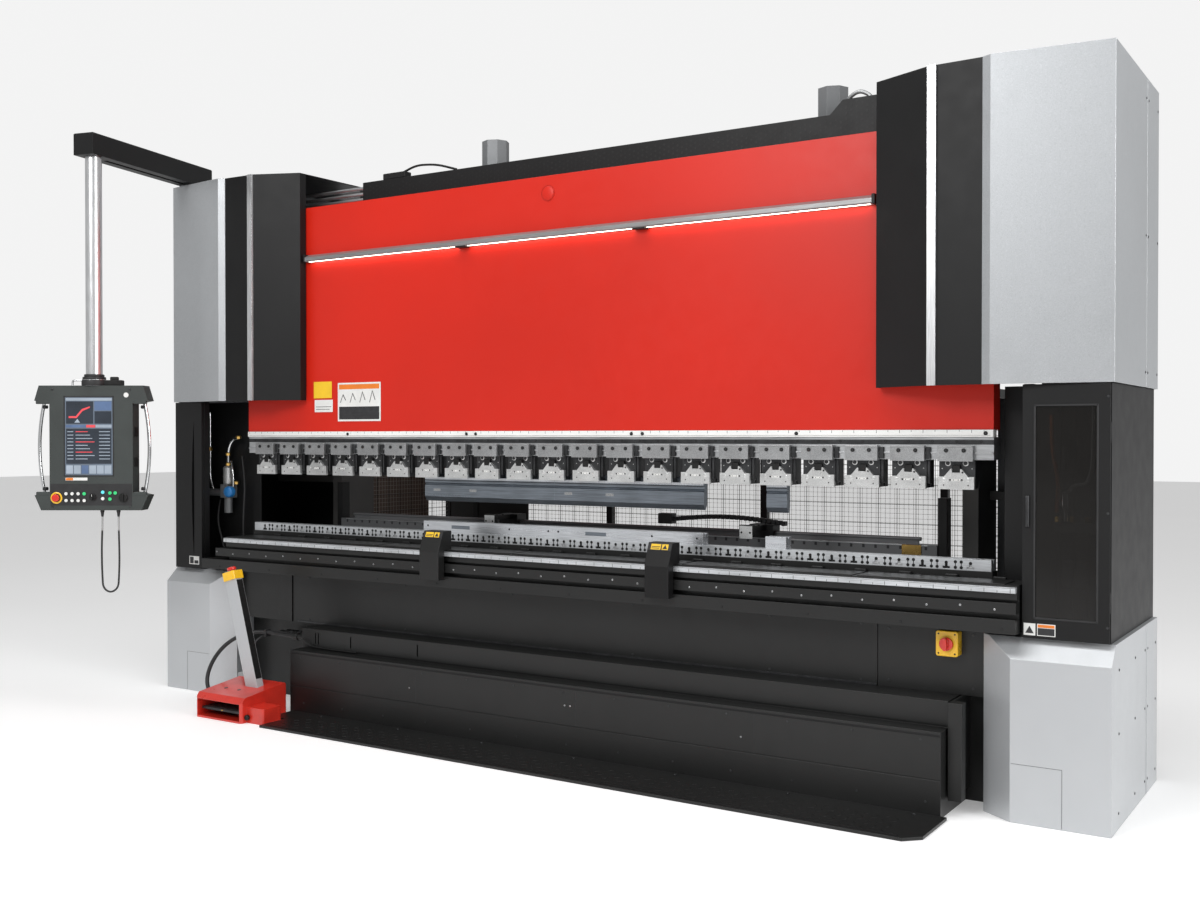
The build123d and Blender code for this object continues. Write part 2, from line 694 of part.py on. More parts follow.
# ---- ram ---------------------------------------------------------------------------------------
shoe_half = guide_width / 2 + 25
shoe_back = guide_plane - 10
guide_front = guide_plane - guide_depth
with BuildPart() as ram:
    block((-half_bend, half_bend), (-ram_front, ram_back), (ram_bottom, ram_shoulder))
    block((-crown_half, crown_half), (-ram_front, ram_back), (ram_shoulder, ram_top))
    for rib in (ram_shoulder + 50, ram_top - 260):
        block((-crown_half + 50, crown_half - 50), (ram_back, ram_back + 80), (rib, rib + 25))
    for sign in sides.values():
        shoe_x = sign * frame_middle
        slot_half = guide_width / 2 + guide_clearance
        block((shoe_x - shoe_half, shoe_x + shoe_half), (ram_back, shoe_back),
              (ram_shoulder - 200, ram_shoulder))
        block((shoe_x - slot_half, shoe_x + slot_half), (guide_front - guide_clearance, shoe_back),
              (ram_shoulder - 200, ram_shoulder), mode=Mode.SUBTRACT)
    with Locations((-23, -ram_front, ram_top - 87)):
        Cylinder(40, 3, rotation=(90, 0, 0), mode=Mode.SUBTRACT)
    with Locations((-23, -ram_front, ram_top - 87)):
        Cylinder(36, 3, rotation=(90, 0, 0))
ram.part.label = "ram"
export_step(ram.part, "parts/ram.step")

bar_front = ram_front + 6
with BuildPart() as scale_bar:
    block((-half_bend, half_bend), (-bar_front, -20), (scale_bar_bottom, ram_bottom))
scale_bar.part.label = "scale_bar"
export_step(scale_bar.part, "parts/scale_bar.step")

with BuildPart() as clamp_rail:
    block((-half_bend, half_bend), (-clamp_rail_front, ram_back),
          (clamp_rail_bottom, scale_bar_bottom))
clamp_rail.part.label = "clamp_rail"
export_step(clamp_rail.part, "parts/clamp_rail.step")

light_bottom = ram_top - 307
light_half = half_bend - fairing_inner - 15
light_outline = [
    (-ram_front, light_bottom), (-ram_front, light_bottom + 40), (-ram_front - 12, light_bottom + 40),
    (-ram_front - 40, light_bottom + 24), (-ram_front - 40, light_bottom + 6),
    (-ram_front - 34, light_bottom),
]
with BuildPart() as light_bar:
    with BuildSketch(Plane.YZ.offset(-light_half)):
        Polygon(*light_outline, align=None)
    extrude(amount=2 * light_half)
    block((-light_half + 20, light_half - 20), (-ram_front - 30, -ram_front - 8),
          (light_bottom, light_bottom + 8), mode=Mode.SUBTRACT)
light_bar.part.label = "light_bar"
export_step(light_bar.part, "parts/light_bar.step")

# ---- tool holders ------------------------------------------------------------------------------
holder_count = int((bend_length - 2 * holder_end_gap) / holder_pitch) + 1
holder_places = [(place - (holder_count - 1) / 2) * holder_pitch for place in range(holder_count)]
plate_half = holder_width / 2 - 2
plate_bottom = clamp_rail_bottom - 6
holder_half = holder_width / 2
holder_outline = [
    (-holder_front, holder_bottom), (-tang_half, holder_bottom), (-tang_half, holder_bottom + 25),
    (tang_half, holder_bottom + 25), (tang_half, holder_bottom), (45, holder_bottom),
    (45, clamp_rail_bottom), (-holder_front, clamp_rail_bottom),
]
plate_outline = [
    (-holder_front, plate_bottom), (-holder_front, clamp_rail_bottom),
    (-clamp_rail_front, clamp_rail_bottom), (-clamp_rail_front, clamp_rail_bottom + 58),
    (-holder_front - 30, clamp_rail_bottom + 58), (-holder_front - 30, plate_bottom),
]
holders = []
for place in holder_places:
    with BuildPart() as holder:
        with BuildSketch(Plane.YZ.offset(place - holder_half)):
            Polygon(*holder_outline, align=None)
        extrude(amount=holder_width)
        with BuildSketch(Plane.YZ.offset(place - plate_half)):
            Polygon(*plate_outline, align=None)
        extrude(amount=2 * plate_half)
    holders.append(holder.part)
holder_bodies = Compound(children=holders)
holder_bodies.label = "holder_bodies"
export_step(holder_bodies, "parts/holder_bodies.step")

clamp_top = clamp_rail_bottom - 37
clamp_shoulder = clamp_top - 32
clamp_bottom = holder_bottom - 3
clamp_outline = [
    (-holder_half, clamp_bottom), (-holder_half, clamp_shoulder), (-50, clamp_shoulder),
    (-22, clamp_top), (-18, clamp_top), (-16, clamp_top - 15), (16, clamp_top - 15),
    (18, clamp_top), (22, clamp_top), (50, clamp_shoulder), (holder_half, clamp_shoulder),
    (holder_half, clamp_bottom),
]
clamps = []
for place in holder_places:
    with BuildPart() as clamp:
        with BuildSketch(Plane.XZ.offset(holder_front + clamp_gap)):
            with Locations((place, 0)):
                Polygon(*clamp_outline, align=None)
            for hole_x, hole_radius in ((-50, 7), (-24, 4), (24, 4), (50, 7)):
                with Locations((place + hole_x, clamp_bottom + 38)):
                    Circle(hole_radius, mode=Mode.SUBTRACT)
        extrude(amount=clamp_thickness)
    clamps.append(clamp.part)
holder_clamps = Compound(children=clamps)
holder_clamps.label = "holder_clamps"
export_step(holder_clamps, "parts/holder_clamps.step")

# ---- punches -----------------------------------------------------------------------------------
punch_tip = holder_bottom - punch_height
punch_outline = [
    (-tang_half, holder_bottom + 23), (-tang_half, holder_bottom), (-16, holder_bottom),
    (-16, holder_bottom - 30), (-9, holder_bottom - 38), (-16, holder_bottom - 44),
    (-16, punch_tip + 24), (-2, punch_tip), (2, punch_tip), (16, punch_tip + 24),
    (16, holder_bottom), (tang_half, holder_bottom), (tang_half, holder_bottom + 23),
]
punches = []
for start, length in tool_spans:
    with BuildPart() as punch:
        with BuildSketch(Plane.YZ.offset(start)):
            Polygon(*punch_outline, align=None)
        extrude(amount=length)
    punches.append(punch.part)
punch_set = Compound(children=punches)
punch_set.label = "punches"
export_step(punch_set, "parts/punches.step")

# ---- guide rails for the ram and for the back gauge --------------------------------------------
gauge_rail_bottom = throat_bottom - 60
gauge_rail_height = 40
guides = []
for sign in sides.values():
    rail_x = sign * frame_middle
    with BuildPart() as ram_guide:
        block((rail_x - guide_width / 2, rail_x + guide_width / 2), (guide_front, guide_plane),
              (throat_top + 40, cylinder_bottom - 5))
    guides.append(ram_guide.part)
    with BuildPart() as gauge_rail:
        block((sign * (half_frames - 40), sign * half_frames), (100, gauge_rail_end),
              (gauge_rail_bottom, gauge_rail_bottom + gauge_rail_height))
    guides.append(gauge_rail.part)
guide_set = Compound(children=guides)
guide_set.label = "guide_rails"
export_step(guide_set, "parts/guide_rails.step")

# ---- back gauge --------------------------------------------------------------------------------
column_face = half_frames - 85
gauge_rail_top = gauge_rail_bottom + gauge_rail_height
gauge_beam_top = table_height + gauge_beam_rise
gauge_beam_bottom = gauge_beam_top - 50
with BuildPart() as gauge_carriages:
    for sign in sides.values():
        block((sign * column_face, sign * (half_frames - 4)), (gauge_rest - 60, gauge_rest + 60),
              (gauge_rail_top + slide_gap, gauge_rail_top + 70))
        block((sign * column_face, sign * (column_face + 40)), (gauge_rest - 30, gauge_rest + 30),
              (gauge_rail_top + 70, gauge_beam_top + 210))
    block((-column_face, column_face), (gauge_rest - 20, gauge_rest + 20),
          (gauge_rail_top + 15, gauge_rail_top + 50))
gauge_carriages.part.label = "gauge_carriages"
export_step(gauge_carriages.part, "parts/gauge_carriages.step")

rod_y = gauge_rest - 15
rod_z = gauge_beam_top + 25
gauge_rod_radius = 9
with BuildPart() as gauge_beam:
    block((-column_face + slide_gap, column_face - slide_gap),
          (gauge_rest - gauge_beam_half, gauge_rest + gauge_beam_half),
          (gauge_beam_bottom, gauge_beam_top))
    block((-column_face + 90, column_face - 90), (rod_y - 6, rod_y + 6),
          (gauge_beam_top, rod_z))
    with Locations((0, rod_y, rod_z)):
        Cylinder(gauge_rod_radius, 2 * column_face - 160, rotation=(0, 90, 0))
gauge_beam.part.label = "gauge_beam"
export_step(gauge_beam.part, "parts/gauge_beam.step")

saddle_bottom = rod_z + gauge_rod_radius + slide_gap
finger_reach = 205
for side, finger_x in finger_places.items():
    with BuildPart() as finger:
        block((finger_x - 60, finger_x + 60), (rod_y - 40, rod_y + 40),
              (saddle_bottom, saddle_bottom + 30))
        for cheek in (rod_y - 40, rod_y + 20):
            block((finger_x - 60, finger_x + 60), (cheek, cheek + 20),
                  (gauge_beam_top + slide_gap, saddle_bottom))
        block((finger_x - 24, finger_x + 24), (gauge_rest - finger_reach, rod_y - 40),
              (saddle_bottom + 6, saddle_bottom + 30))
        block((finger_x - 35, finger_x + 35),
              (gauge_rest - finger_reach - 15, gauge_rest - finger_reach + 10),
              (saddle_bottom - 10, saddle_bottom + 36))
    finger.part.label = f"{side}_finger"
    export_step(finger.part, f"parts/{side}_finger.step")

# ---- rear guard --------------------------------------------------------------------------------
guard_half = half_frames + 40
guard_bar = 40
guard_low = 250
wire = 2.4
guard_posts = [guard_post_shift + guard_post_pitch * (number - 1.5) for number in range(4)]
guard_face_y = guard_back - guard_bar
wire_y = guard_back - guard_bar / 2
side_wire_count = int((guard_back - frame_depth - guard_bar) / guard_wire_pitch)
rear_wire_count = int((2 * guard_half - guard_bar) / guard_wire_pitch)
level_wire_count = int((guard_height - guard_low - guard_bar) / guard_wire_pitch)
with BuildPart() as rear_guard:
    for post_x in (-guard_half, guard_half - guard_bar):
        block((post_x, post_x + guard_bar), (guard_face_y, guard_back), (0, guard_height))
    for post_x in guard_posts:
        block((post_x - guard_bar / 2, post_x + guard_bar / 2), (guard_face_y, guard_back),
              (guard_low, guard_height))
    for level in (guard_low, guard_height - guard_bar):
        block((-guard_half, guard_half), (guard_face_y, guard_back), (level, level + guard_bar))
        for post_x in (-guard_half, guard_half - guard_bar):
            block((post_x, post_x + guard_bar), (frame_depth, guard_back),
                  (level, level + guard_bar))
    rear_height = guard_height - guard_low - guard_bar
    wire_level = (guard_low + guard_height) / 2
    side_depth = guard_back - frame_depth - guard_bar
    side_middle = (frame_depth + guard_face_y) / 2
    with Locations((0, wire_y, wire_level)):
        with GridLocations(guard_wire_pitch, 1, rear_wire_count, 1):
            Box(wire, wire, rear_height)
    for number in range(level_wire_count):
        level = guard_low + guard_bar / 2 + (number + 1) * guard_wire_pitch
        with Locations((0, wire_y, level)):
            Box(2 * guard_half - guard_bar, wire, wire)
        with Locations((-guard_half + guard_bar / 2, side_middle, level),
                       (guard_half - guard_bar / 2, side_middle, level)):
            Box(wire, side_depth, wire)
    with Locations((-guard_half + guard_bar / 2, side_middle, wire_level),
                   (guard_half - guard_bar / 2, side_middle, wire_level)):
        with GridLocations(1, guard_wire_pitch, 1, side_wire_count):
            Box(wire, wire, rear_height)
rear_guard.part.label = "rear_guard"
export_step(rear_guard.part, "parts/rear_guard.step")

# ---- electrical cabinet ------------------------------------------------------------------------
cabinet_back = cover_back + 375
with BuildPart() as electrical_cabinet:
    cabinet_span = (guard_half + 35, cover_half - 113)
    block(cabinet_span, (cover_back, cabinet_back), (0, guard_height - 50))
    cabinet_faces = [electrical_cabinet.faces().sort_by(Axis.Z)[0]]
    offset(amount=-3, openings=cabinet_faces)
    block((cabinet_span[0] + 15, cabinet_span[1] - 15), (cabinet_back, cabinet_back + 18),
          (120, guard_height - 70))
    block((cabinet_span[0] + 40, cabinet_span[0] + 65), (cabinet_back + 18, cabinet_back + 45),
          (800, 960))
electrical_cabinet.part.label = "electrical_cabinet"
export_step(electrical_cabinet.part, "parts/electrical_cabinet.step")

# ---- control pendant ---------------------------------------------------------------------------
arm_angle = radians(arm_turn)
post_x = pivot_x + arm_reach * cos(arm_angle)
post_y = pivot_back + arm_reach * sin(arm_angle)
arm_bottom = upper_top + boss_height + swing_gap
arm_plane = Plane(origin=(pivot_x, pivot_back, arm_bottom),
                  x_dir=(cos(arm_angle), sin(arm_angle), 0), z_dir=(0, 0, 1))
spindle_radius = 25
arm_wall = 6
spindle_height = 70
with BuildPart() as pendant_arm:
    with BuildSketch(arm_plane):
        with Locations((arm_reach / 2, 0)):
            Rectangle(arm_reach + arm_width + 30, arm_width)
    extrude(amount=arm_height)
    with BuildSketch(arm_plane.offset(arm_wall)):
        with Locations((arm_reach / 2, 0)):
            Rectangle(arm_reach - 180, arm_width - 2 * arm_wall)
    extrude(amount=arm_height - 2 * arm_wall, mode=Mode.SUBTRACT)
    with BuildSketch(arm_plane):
        with Locations((arm_reach / 2, 0)):
            Rectangle(arm_reach - 180, 24)
    extrude(amount=arm_wall, mode=Mode.SUBTRACT)
    with BuildSketch(arm_plane):
        Circle(pivot_radius + pin_clearance)
    extrude(amount=arm_height - 12, mode=Mode.SUBTRACT)
    with BuildSketch(arm_plane):
        with Locations((arm_reach, 0)):
            Circle(spindle_radius + pin_clearance)
    extrude(amount=arm_height - 20, mode=Mode.SUBTRACT)
    long_edges = pendant_arm.faces().sort_by(Axis.Z)[-1].edges()
    fillet(long_edges, radius=8)
pendant_arm.part.label = "pendant_arm"
export_step(pendant_arm.part, "parts/pendant_arm.step")

post_drop = 1212              # from the arm's underside to the top of the panel
collar_height = 32
case_top = arm_bottom - swing_gap - post_drop
with BuildPart() as pendant_post:
    with BuildSketch(Plane.XY.offset(case_top)):
        with Locations((post_x, post_y)):
            Circle(post_radius + 20)
    extrude(amount=collar_height)
    with BuildSketch(Plane.XY.offset(case_top + collar_height)):
        with Locations((post_x, post_y)):
            Circle(post_radius)
    extrude(amount=arm_bottom - swing_gap - case_top - collar_height)
    with BuildSketch(Plane.XY.offset(arm_bottom - swing_gap)):
        with Locations((post_x, post_y)):
            Circle(spindle_radius)
    extrude(amount=spindle_height)
pendant_post.part.label = "pendant_post"
export_step(pendant_post.part, "parts/pendant_post.step")

# the panel's own plane: X to the operator's right, Y up, Z towards the operator
turn = radians(pendant_facing)
panel_plane = Plane(origin=(post_x, post_y, case_top - case_height / 2),
                    x_dir=(cos(turn), sin(turn), 0), z_dir=(sin(turn), -cos(turn), 0))
ear_height = 96
case_half = case_width / 2
ear_half = ear_width / 2
case_low = -case_height / 2
case_high = case_height / 2
case_outline = [
    (-case_half, case_low + ear_height), (-ear_half, case_low + ear_height - 16),
    (-ear_half + 34, case_low), (ear_half - 34, case_low), (ear_half, case_low + ear_height - 16),
    (case_half, case_low + ear_height), (case_half, case_high - ear_height),
    (ear_half, case_high - ear_height + 16), (ear_half - 24, case_high),
    (-ear_half + 24, case_high), (-ear_half, case_high - ear_height + 16),
    (-case_half, case_high - ear_height),
]
case_front = case_depth / 2
screen_width = 252
screen_height = 412
screen_middle = (-12, 62)
stop_place = (-184, case_low + 66)
stop_radius = 20
key_places = [(-132, 88), (-100, 88), (-68, 88), (-132, 52), (-100, 52), (-68, 52), (-36, 52)]
with BuildPart() as pendant_case:
    with BuildSketch(panel_plane.offset(-case_front)):
        Polygon(*case_outline, align=None)
    extrude(amount=case_depth)
    with BuildSketch(panel_plane.offset(-case_front)):
        Rectangle(case_width - 60, case_height - 140)
    extrude(amount=-40)
    with BuildSketch(panel_plane.offset(case_front)):
        with Locations(screen_middle):
            Rectangle(screen_width, screen_height)
    extrude(amount=-4, mode=Mode.SUBTRACT)
    with BuildSketch(panel_plane.offset(case_front)):
        with Locations(stop_place):
            Circle(10 + pin_clearance)
    extrude(amount=-20, mode=Mode.SUBTRACT)
    with BuildSketch(panel_plane.offset(case_front)):
        for key_x, key_rise in key_places:
            with Locations((key_x, case_low + key_rise)):
                Circle(8.5 + pin_clearance)
    extrude(amount=-10, mode=Mode.SUBTRACT)
pendant_case.part.label = "pendant_case"
export_step(pendant_case.part, "parts/pendant_case.step")

with BuildPart() as pendant_screen:
    with BuildSketch(panel_plane.offset(case_front - 4)):
        with Locations(screen_middle):
            Rectangle(screen_width, screen_height)
    extrude(amount=3)
pendant_screen.part.label = "pendant_screen"
export_step(pendant_screen.part, "parts/pendant_screen.step")

handle_radius = 9
handle_x = case_half + 46
handle_end = case_high - ear_height + 8
handles = []
for sign in sides.values():
    with BuildPart() as handle:
        with BuildLine(panel_plane):
            handle_path = ThreePointArc((sign * handle_x, -handle_end), (sign * (handle_x + 26), 0),
                                        (sign * handle_x, handle_end))
        with BuildSketch(Plane(handle_path @ 0, z_dir=handle_path % 0)):
            Circle(handle_radius)
        sweep(path=handle_path)
    handles.append(handle.part)
handle_set = Compound(children=handles)
handle_set.label = "pendant_handles"
export_step(handle_set, "parts/pendant_handles.step")

stop_travel = 5
with BuildPart() as pendant_stop_button:
    with BuildSketch(panel_plane.offset(case_front - 10)):
        with Locations(stop_place):
            Circle(10)
    extrude(amount=10 + stop_travel + 1)
    with BuildSketch(panel_plane.offset(case_front + stop_travel + 1)):
        with Locations(stop_place):
            Circle(stop_radius)
    extrude(amount=14)
    fillet(pendant_stop_button.edges().filter_by(GeomType.CIRCLE).group_by(SortBy.RADIUS)[-1],
           radius=5)
pendant_stop_button.part.label = "pendant_stop_button"
export_step(pendant_stop_button.part, "parts/pendant_stop_button.step")

with BuildPart() as pendant_keys:
    with BuildSketch(panel_plane.offset(case_front - 6)):
        for key_x, key_rise in key_places:
            with Locations((key_x, case_low + key_rise)):
                Circle(8.5)
    extrude(amount=11)
pendant_keys.part.label = "pendant_keys"
export_step(pendant_keys.part, "parts/pendant_keys.step")

# ---- foot switch -------------------------------------------------------------------------------
hood_span = (-half_bend + 302, -half_bend + 650)
hood_middle = (hood_span[0] + hood_span[1]) / 2
hood_front = -700
hood_back = -380
hood_wall = 14
# the stop button's post leans to the left out of a socket in the hood
lean = radians(16)
post_foot = (hood_middle + 62, hood_back - 120, 125)
post_width = 86
post_depth = 45
post_plane = Plane(origin=post_foot, x_dir=(cos(lean), 0, sin(lean)),
                   z_dir=(-sin(lean), 0, cos(lean)))
switch_post_length = 604
hood_outline = [
    (hood_front, 0), (hood_front, 100), (hood_front + 25, 128), (hood_back - 20, 166),
    (hood_back, 150), (hood_back, 0),
]
treadle_hinge = (hood_back - 70, 46)
treadle_radius = 5
with BuildPart() as foot_switch_base:
    with BuildSketch(Plane.YZ.offset(hood_span[0])):
        Polygon(*hood_outline, align=None)
    extrude(amount=hood_span[1] - hood_span[0])
    upright = foot_switch_base.edges().filter_by(Axis.Z)
    fillet(upright, radius=18)
    block((hood_span[0] + hood_wall, hood_span[1] - hood_wall), (hood_front - 1, hood_back - 40),
          (10, 98), mode=Mode.SUBTRACT)
    block((hood_span[1] - 4, hood_span[1] + 120), (hood_front + 40, hood_front + 165),
          (0, 82))
    side_box_edges = foot_switch_base.faces().sort_by(Axis.X)[-1].edges()
    fillet(side_box_edges.filter_by(Axis.Z), radius=10)
    with BuildSketch(post_plane):
        Rectangle(post_width, post_depth)
    extrude(amount=100, mode=Mode.SUBTRACT)
    with Locations((hood_middle, treadle_hinge[0], treadle_hinge[1])):
        Cylinder(treadle_radius + pin_clearance, hood_span[1] - hood_span[0] - 2 * hood_wall + 16,
                 rotation=(0, 90, 0), mode=Mode.SUBTRACT)
foot_switch_base.part.label = "foot_switch_base"
export_step(foot_switch_base.part, "parts/foot_switch_base.step")

treadle_half = (hood_span[1] - hood_span[0]) / 2 - hood_wall - 4
with BuildPart() as foot_treadle:
    block((hood_middle - treadle_half, hood_middle + treadle_half),
          (hood_front + 30, treadle_hinge[0] + 8), (40, 52))
    with Locations((hood_middle, treadle_hinge[0], treadle_hinge[1])):
        Cylinder(treadle_radius, 2 * treadle_half + 22, rotation=(0, 90, 0))
    for rib in range(8):
        rib_y = hood_front + 40 + rib * 16
        block((hood_middle - treadle_half + 10, hood_middle + treadle_half - 10),
              (rib_y, rib_y + 6), (52, 55))
foot_treadle.part.label = "foot_treadle"
export_step(foot_treadle.part, "parts/foot_treadle.step")

head_length = 46
with BuildPart() as foot_post:
    with BuildSketch(post_plane):
        Rectangle(post_width, post_depth)
    extrude(amount=switch_post_length)

head_plane = post_plane.offset(switch_post_length)
foot_stop_travel = 5
with BuildPart() as foot_stop_box:
    with BuildSketch(head_plane):
        RectangleRounded(90, 74, 12)
    extrude(amount=head_length)
    with BuildSketch(head_plane.offset(head_length)):
        Circle(10 + pin_clearance)
    extrude(amount=-24, mode=Mode.SUBTRACT)
foot_post_set = Compound(children=[foot_post.part, foot_stop_box.part])
foot_post_set.label = "foot_post"
export_step(foot_post_set, "parts/foot_post.step")

with BuildPart() as foot_stop_button:
    with BuildSketch(head_plane.offset(head_length - 12)):
        Circle(10)
    extrude(amount=12 + foot_stop_travel + 1)
    with BuildSketch(head_plane.offset(head_length + foot_stop_travel + 1)):
        Circle(24)
    extrude(amount=18)
    fillet(foot_stop_button.edges().filter_by(GeomType.CIRCLE).group_by(SortBy.RADIUS)[-1],
           radius=7)
foot_stop_button.part.label = "foot_stop_button"
export_step(foot_stop_button.part, "parts/foot_stop_button.step")

# ---- free cords --------------------------------------------------------------------------------


def bend_radii(route):
    """Give each corner of a route the largest arc that its two runs leave room for."""
    radii = []
    for before, corner, after in zip(route, route[1:], route[2:]):
        run_in = Vector(*corner) - Vector(*before)
        run_out = Vector(*after) - Vector(*corner)
        half_turn = radians(run_in.get_angle(run_out)) / 2
        radii.append(0.45 * min(run_in.length, run_out.length) / tan(half_turn))
    return radii


def cord_tube(route, diameter, name):
    """Sweep a round tube along straight runs joined by tangent arcs."""
    radii = bend_radii(route)
    with BuildPart() as tube:
        with BuildLine() as path:
            FilletPolyline(*route, radius=radii)
        spine = path.wires()[0]
        with BuildSketch(Plane(spine @ 0, z_dir=spine % 0)):
            Circle(diameter / 2)
        sweep(path=spine)
    section = pi * diameter ** 2 / 4
    print(f"{name}: length {spine.length:.0f}, tightest radius {min(radii):.0f}, "
          f"volume ratio {tube.part.volume / (section * spine.length):.3f}")
    return tube.part


foot_cable_route = [
    (-1640, -200, 375), (-1720, -200, 375), (-1812, -218, 386), (-1905, -260, 384),
    (-1990, -308, 352), (-2060, -345, 290), (-2110, -375, 205), (-2118, -402, 118),
    (-2072, -418, 50), (-1995, -428, 22), (-1918, -430, 34), (-1848, -430, 34),
]
foot_cable_tube = cord_tube(foot_cable_route, foot_cable_diameter, "foot_cable")
foot_cable_tube.label = "foot_cable"
export_step(foot_cable_tube, "parts/foot_cable.step")

switch_cable_route = [
    (-1640, -150, 375), (-1702, -150, 375), (-1772, -168, 383), (-1840, -205, 376),
    (-1884, -248, 340), (-1896, -272, 284), (-1886, -278, 226), (-1860, -278, 172),
    (-1824, -278, 129), (-1784, -279, 100), (-1750, -291, 89), (-1726, -314, 86),
    (-1712, -346, 86), (-1712, -380, 86),
]
switch_cable_tube = cord_tube(switch_cable_route, switch_cable_diameter, "switch_cable")
switch_cable_tube.label = "switch_cable"
export_step(switch_cable_tube, "parts/switch_cable.step")

pendant_cord_places = [
    (40, 0), (40, 84), (36, 184), (36, 278), (39, 356), (42, 417), (82, 443), (123, 417),
    (127, 355), (130, 276), (129, 182), (126, 83), (126, 0),
]
pendant_cord_route = [
    tuple(panel_plane.from_local_coords((across, case_low - down, 0)))
    for across, down in pendant_cord_places
]
pendant_cord_tube = cord_tube(pendant_cord_route, pendant_cord_diameter, "pendant_cord")
pendant_cord_tube.label = "pendant_cord"
export_step(pendant_cord_tube, "parts/pendant_cord.step")
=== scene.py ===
"""Looks of a hydraulic press brake, built around its CAD frame. Everything is in metres."""

import math

import bmesh
import bpy
from mathutils import Matrix, Vector


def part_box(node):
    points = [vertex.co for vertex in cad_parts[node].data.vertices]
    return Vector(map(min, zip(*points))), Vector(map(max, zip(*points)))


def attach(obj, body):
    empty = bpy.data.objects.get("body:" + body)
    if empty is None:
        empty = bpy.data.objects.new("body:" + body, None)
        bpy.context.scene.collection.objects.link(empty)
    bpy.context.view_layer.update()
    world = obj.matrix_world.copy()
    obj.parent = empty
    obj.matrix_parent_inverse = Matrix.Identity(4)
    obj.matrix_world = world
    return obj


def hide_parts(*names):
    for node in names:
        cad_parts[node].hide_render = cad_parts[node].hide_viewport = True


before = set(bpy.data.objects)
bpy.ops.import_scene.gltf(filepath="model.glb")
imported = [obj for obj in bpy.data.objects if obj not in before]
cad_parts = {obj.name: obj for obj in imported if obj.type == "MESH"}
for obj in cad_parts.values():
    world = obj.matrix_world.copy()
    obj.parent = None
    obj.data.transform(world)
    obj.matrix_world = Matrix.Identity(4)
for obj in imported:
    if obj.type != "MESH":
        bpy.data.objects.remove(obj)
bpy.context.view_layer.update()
FRONT = Vector((0, -1, 0))


# ---- materials ---------------------------------------------------------------------------------
def link_noise(tree, coordinates, scale, detail=4.0):
    """Add a noise texture that follows the piece's own coordinates."""
    noise = tree.nodes.new("ShaderNodeTexNoise")
    noise.inputs["Scale"].default_value = scale
    noise.inputs["Detail"].default_value = detail
    tree.links.new(coordinates, noise.inputs["Vector"])
    return noise.outputs["Fac"]


def link_ramp(tree, factor, colours, low=0.3, high=0.7):
    """Turn a factor into a run of evenly spaced colours."""
    ramp = tree.nodes.new("ShaderNodeValToRGB")
    elements = ramp.color_ramp.elements
    while len(elements) < len(colours):
        elements.new(0.5)
    for number, colour in enumerate(colours):
        elements[number].position = low + (high - low) * number / (len(colours) - 1)
        elements[number].color = (*colour, 1)
    tree.links.new(factor, ramp.inputs["Fac"])
    return ramp.outputs["Color"]


def link_mix(tree, factor, first, second, blend="MIX"):
    """Mix two colours by a factor."""
    mix = tree.nodes.new("ShaderNodeMix")
    mix.data_type = "RGBA"
    mix.blend_type = blend
    for value, socket in ((factor, mix.inputs[0]), (first, mix.inputs[6]), (second, mix.inputs[7])):
        if isinstance(value, bpy.types.NodeSocket):
            tree.links.new(value, socket)
        else:
            socket.default_value = value
    return mix.outputs[2]


def shade(colour, factor):
    """Make a colour lighter or darker."""
    return tuple(min(1.0, channel * factor) for channel in colour)


